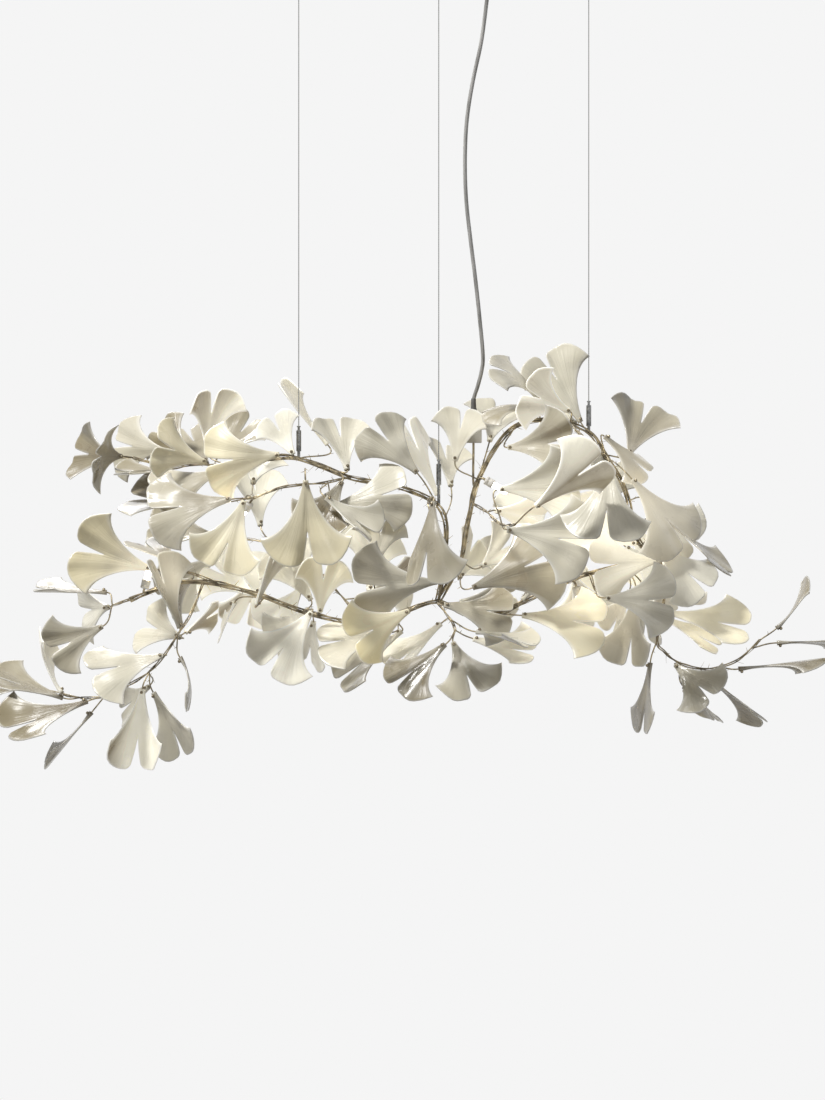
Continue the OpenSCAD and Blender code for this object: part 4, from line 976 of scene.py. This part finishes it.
class CHANDELIER_OT_screws(bpy.types.Operator):
    """The ball-headed screw that holds each leaf on its twig"""

    bl_idname = "chandelier.screws"
    bl_label = "Leaf screws"

    def execute(self, context):
        sizes = context.scene.chandelier_sizes
        neck_r, twig_r = sizes.neck / MM / 2, sizes.twig / MM / 2
        middle = neck_r + 0.35 - twig_r
        stem = [[SCREW_STEM_R, 0], [SCREW_STEM_R, middle - SCREW_HEAD_R * 0.95]]
        ball = [[SCREW_HEAD_R * sin(a), middle - SCREW_HEAD_R * cos(a)]
                for a in np.radians([28, 50, 72, 94, 116, 138, 156])]
        top = middle + SCREW_HEAD_R * 0.72
        socket = [[0.95, top], [0.85, top - 0.9], [0.1, top - 0.95]]
        shape = Shape()
        for branch in BRANCHES.values():
            for leaf in branch.leaves:
                axes = leaf_axes(leaf)
                foot = np.array(leaf[1:4]) + SCREW_AT * axes[0] + twig_r * axes[2]
                shape.lathe(stem + ball + socket, foot, axes[2], 12)
        shape.piece("ball_screws", "screw_bronze", "screw_bronze", ["leaf_screws"])
        return {"FINISHED"}


class CHANDELIER_OT_branches(bpy.types.Operator):
    """Twisted rods, twigs and thorns of the side branches"""

    bl_idname = "chandelier.branches"
    bl_label = "Side branches"

    def execute(self, context):
        sizes = context.scene.chandelier_sizes
        rod_r, twig_r = sizes.side_rod / MM / 2, sizes.twig / MM / 2
        wire_r, thorn = sizes.wire / MM / 2, sizes.thorn / MM
        for count, (name, branch) in enumerate(BRANCHES.items()):
            shape = Shape()
            for k, stem in enumerate(branch.stems):
                line = smooth([branch.points[i] for i in stem], 8)
                bundle(shape, line, 2, rod_r, rod_r * 1.4, 140, count + k)
                bundle(shape, line, 1, wire_r, rod_r * 2.2, 80, count + 2 * k, 5)
                thorns(shape, line, 24, thorn, rod_r, count)
                thorns(shape, line, 61, 2.1 * thorn, wire_r * 1.3, count + 2)
            for k, leaf in enumerate(branch.leaves):
                line = twig_line(branch.points[leaf[0]], leaf)
                shape.rod(line, twig_r, 7)
                thorns(shape, line[:-3], 27, thorn * 0.8, twig_r, 2.0 * k + count)
            shape.piece("rods_" + name, "aged_bronze", "branch_metal", ["branch_" + name])
        return {"FINISHED"}


class CHANDELIER_OT_main_branches(bpy.types.Operator):
    """The three main branches: loose bundles of rods and wires"""

    bl_idname = "chandelier.main_branches"
    bl_label = "Main branches"

    def execute(self, context):
        sizes = context.scene.chandelier_sizes
        rod_r, wire_r, thorn = sizes.main_rod / MM / 2, sizes.wire / MM / 2, sizes.thorn / MM
        mains = {"frame_riser": FRAME_RISER, "frame_arc": FRAME_ARC, "frame_lower": FRAME_LOWER}
        for k, (node, points) in enumerate(mains.items()):
            line = smooth(points, 6)
            shape = Shape()
            bundle(shape, line, 4, rod_r, rod_r * 2.3, 330, k)
            bundle(shape, line, 2, wire_r, rod_r * 3.1, 150, k + 1, 5)
            thorns(shape, line, 21, thorn + rod_r * 2.5, rod_r, k)
            thorns(shape, line, 47, 2.4 * thorn, wire_r * 1.4, k + 2)
            shape.piece("bundle_" + node, "aged_bronze", "branch_metal", [node])
        return {"FINISHED"}


class CHANDELIER_OT_lamps(bpy.types.Operator):
    """Bulbs, their holders and the arms that carry them"""

    bl_idname = "chandelier.lamps"
    bl_label = "Lamps"

    def execute(self, context):
        arms, holders = Shape(), Shape()
        dome = [[GLASS_R * cos(a), HOLDER_LEN + BULB_LEN - GLASS_R + GLASS_R * sin(a)]
                for a in np.radians(np.arange(0, 90, 15))]
        pin_r, pin_spread, pin_foot, pin_top = 0.5, 2, 1.8, 5.6
        for name, lamp in LAMPS.items():
            axis = turned([1, 0, 0], lamp.heading, lamp.lean)
            start, back = np.array(lamp.start, float), np.array(lamp.back, float)
            near = back - 5 * axis
            arms.rod(smooth([start, (start + near) / 2 - 2 * axis, near, back + axis], 6), ARM_R)
            holders.lathe(HOLDER, back, axis, 28)
            glass = Shape()
            glass.lathe(GLASS_FOOT + dome + GLASS_TIP, back, axis, 24)
            for hand in (-pin_spread, pin_spread):
                side = unit(np.cross(axis, [0, 1, 0.2])) * hand
                glass.rod([back + side + pin_foot * axis, back + side + pin_top * axis], pin_r)
            glass.piece("capsule_" + name, "frosted_bulb", "bulb_glass", [name], name + "_body")
        box = np.array(BOX, float)
        arms.rod(smooth([[105, 0, 112], [98, 24, 105], box - [0, 0, 8], box + [0, 0, 1]], 6), ARM_R)
        arms.piece("arms_lamps", "aged_bronze", "branch_metal", ["lamp_arms"])
        holders.piece("sockets_lamps", "fired_clay", "holder_ceramic", ["lamp_holders"])
        return {"FINISHED"}


class CHANDELIER_OT_hanging(bpy.types.Operator):
    """Cables, cable grippers, the junction box and the cord's gland"""

    bl_idname = "chandelier.hanging"
    bl_label = "Hanging gear"

    def execute(self, context):
        sides = ("left", "centre", "right")
        dress(["cable_" + s for s in sides], "stranded_steel")
        nickel = [part + s for part in ("gripper_", "gripper_plunger_", "gripper_spring_") for s in sides]
        dress(nickel + ["gripper_studs"], "satin_nickel")
        softened("junction_box", "box_paint", "pendant", 0.0012)
        softened("junction_cap", "box_paint", "pendant", 0.0008)
        gland = Shape()
        gland.lathe(GLAND_NUT, CORD_FOOT, UP, 6)
        gland.lathe(GLAND_SLEEVE, CORD_FOOT, UP, 24)
        gland.piece("gland_sleeve", "black_rubber", "dark_rubber", ["cord_gland"])
        return {"FINISHED"}


class CHANDELIER_OT_canopy(bpy.types.Operator):
    """Ceiling plate, anchors, terminals, screws and the canopy cover"""

    bl_idname = "chandelier.canopy"
    bl_label = "Canopy"

    def execute(self, context):
        softened("canopy_cover", "cover_paint", "cover", 0.0012)
        softened("ceiling_plate", "galvanised", "ceiling", 0.0004)
        softened("terminal_block", "terminal_plastic", "ceiling", 0.0006)
        dress(["cable_anchors", "canopy_screws"], "satin_nickel")
        dress(["cord_bush"], "black_rubber")
        return {"FINISHED"}


class CHANDELIER_PT_panel(bpy.types.Panel):
    """Sizes, colours and pieces of the chandelier"""

    bl_idname = "CHANDELIER_PT_panel"
    bl_label = "Branch chandelier"
    bl_space_type = "VIEW_3D"
    bl_region_type = "UI"
    bl_category = "Chandelier"

    def draw(self, context):
        for group in (context.scene.chandelier_sizes, context.scene.chandelier_colours):
            box = self.layout.box()
            for key in group.__annotations__:
                box.prop(group, key)
        for operator in OPERATORS:
            self.layout.operator(operator.bl_idname)


OPERATORS = (
    CHANDELIER_OT_stage,
    CHANDELIER_OT_cord,
    CHANDELIER_OT_main_branches,
    CHANDELIER_OT_branches,
    CHANDELIER_OT_leaves,
    CHANDELIER_OT_screws,
    CHANDELIER_OT_lamps,
    CHANDELIER_OT_hanging,
    CHANDELIER_OT_canopy,
)
CLASSES = (ChandelierSizes, ChandelierColours, *OPERATORS, CHANDELIER_PT_panel)


def register():
    for cls in CLASSES:
        bpy.utils.register_class(cls)
    bpy.types.Scene.chandelier_sizes = PointerProperty(type=ChandelierSizes)
    bpy.types.Scene.chandelier_colours = PointerProperty(type=ChandelierColours)


def unregister():
    del bpy.types.Scene.chandelier_colours
    del bpy.types.Scene.chandelier_sizes
    for cls in reversed(CLASSES):
        bpy.utils.unregister_class(cls)


def main():
    register()
    for operator in OPERATORS:
        group, name = operator.bl_idname.split(".")
        getattr(getattr(bpy.ops, group), name)()


if __name__ == "__main__":
    main()
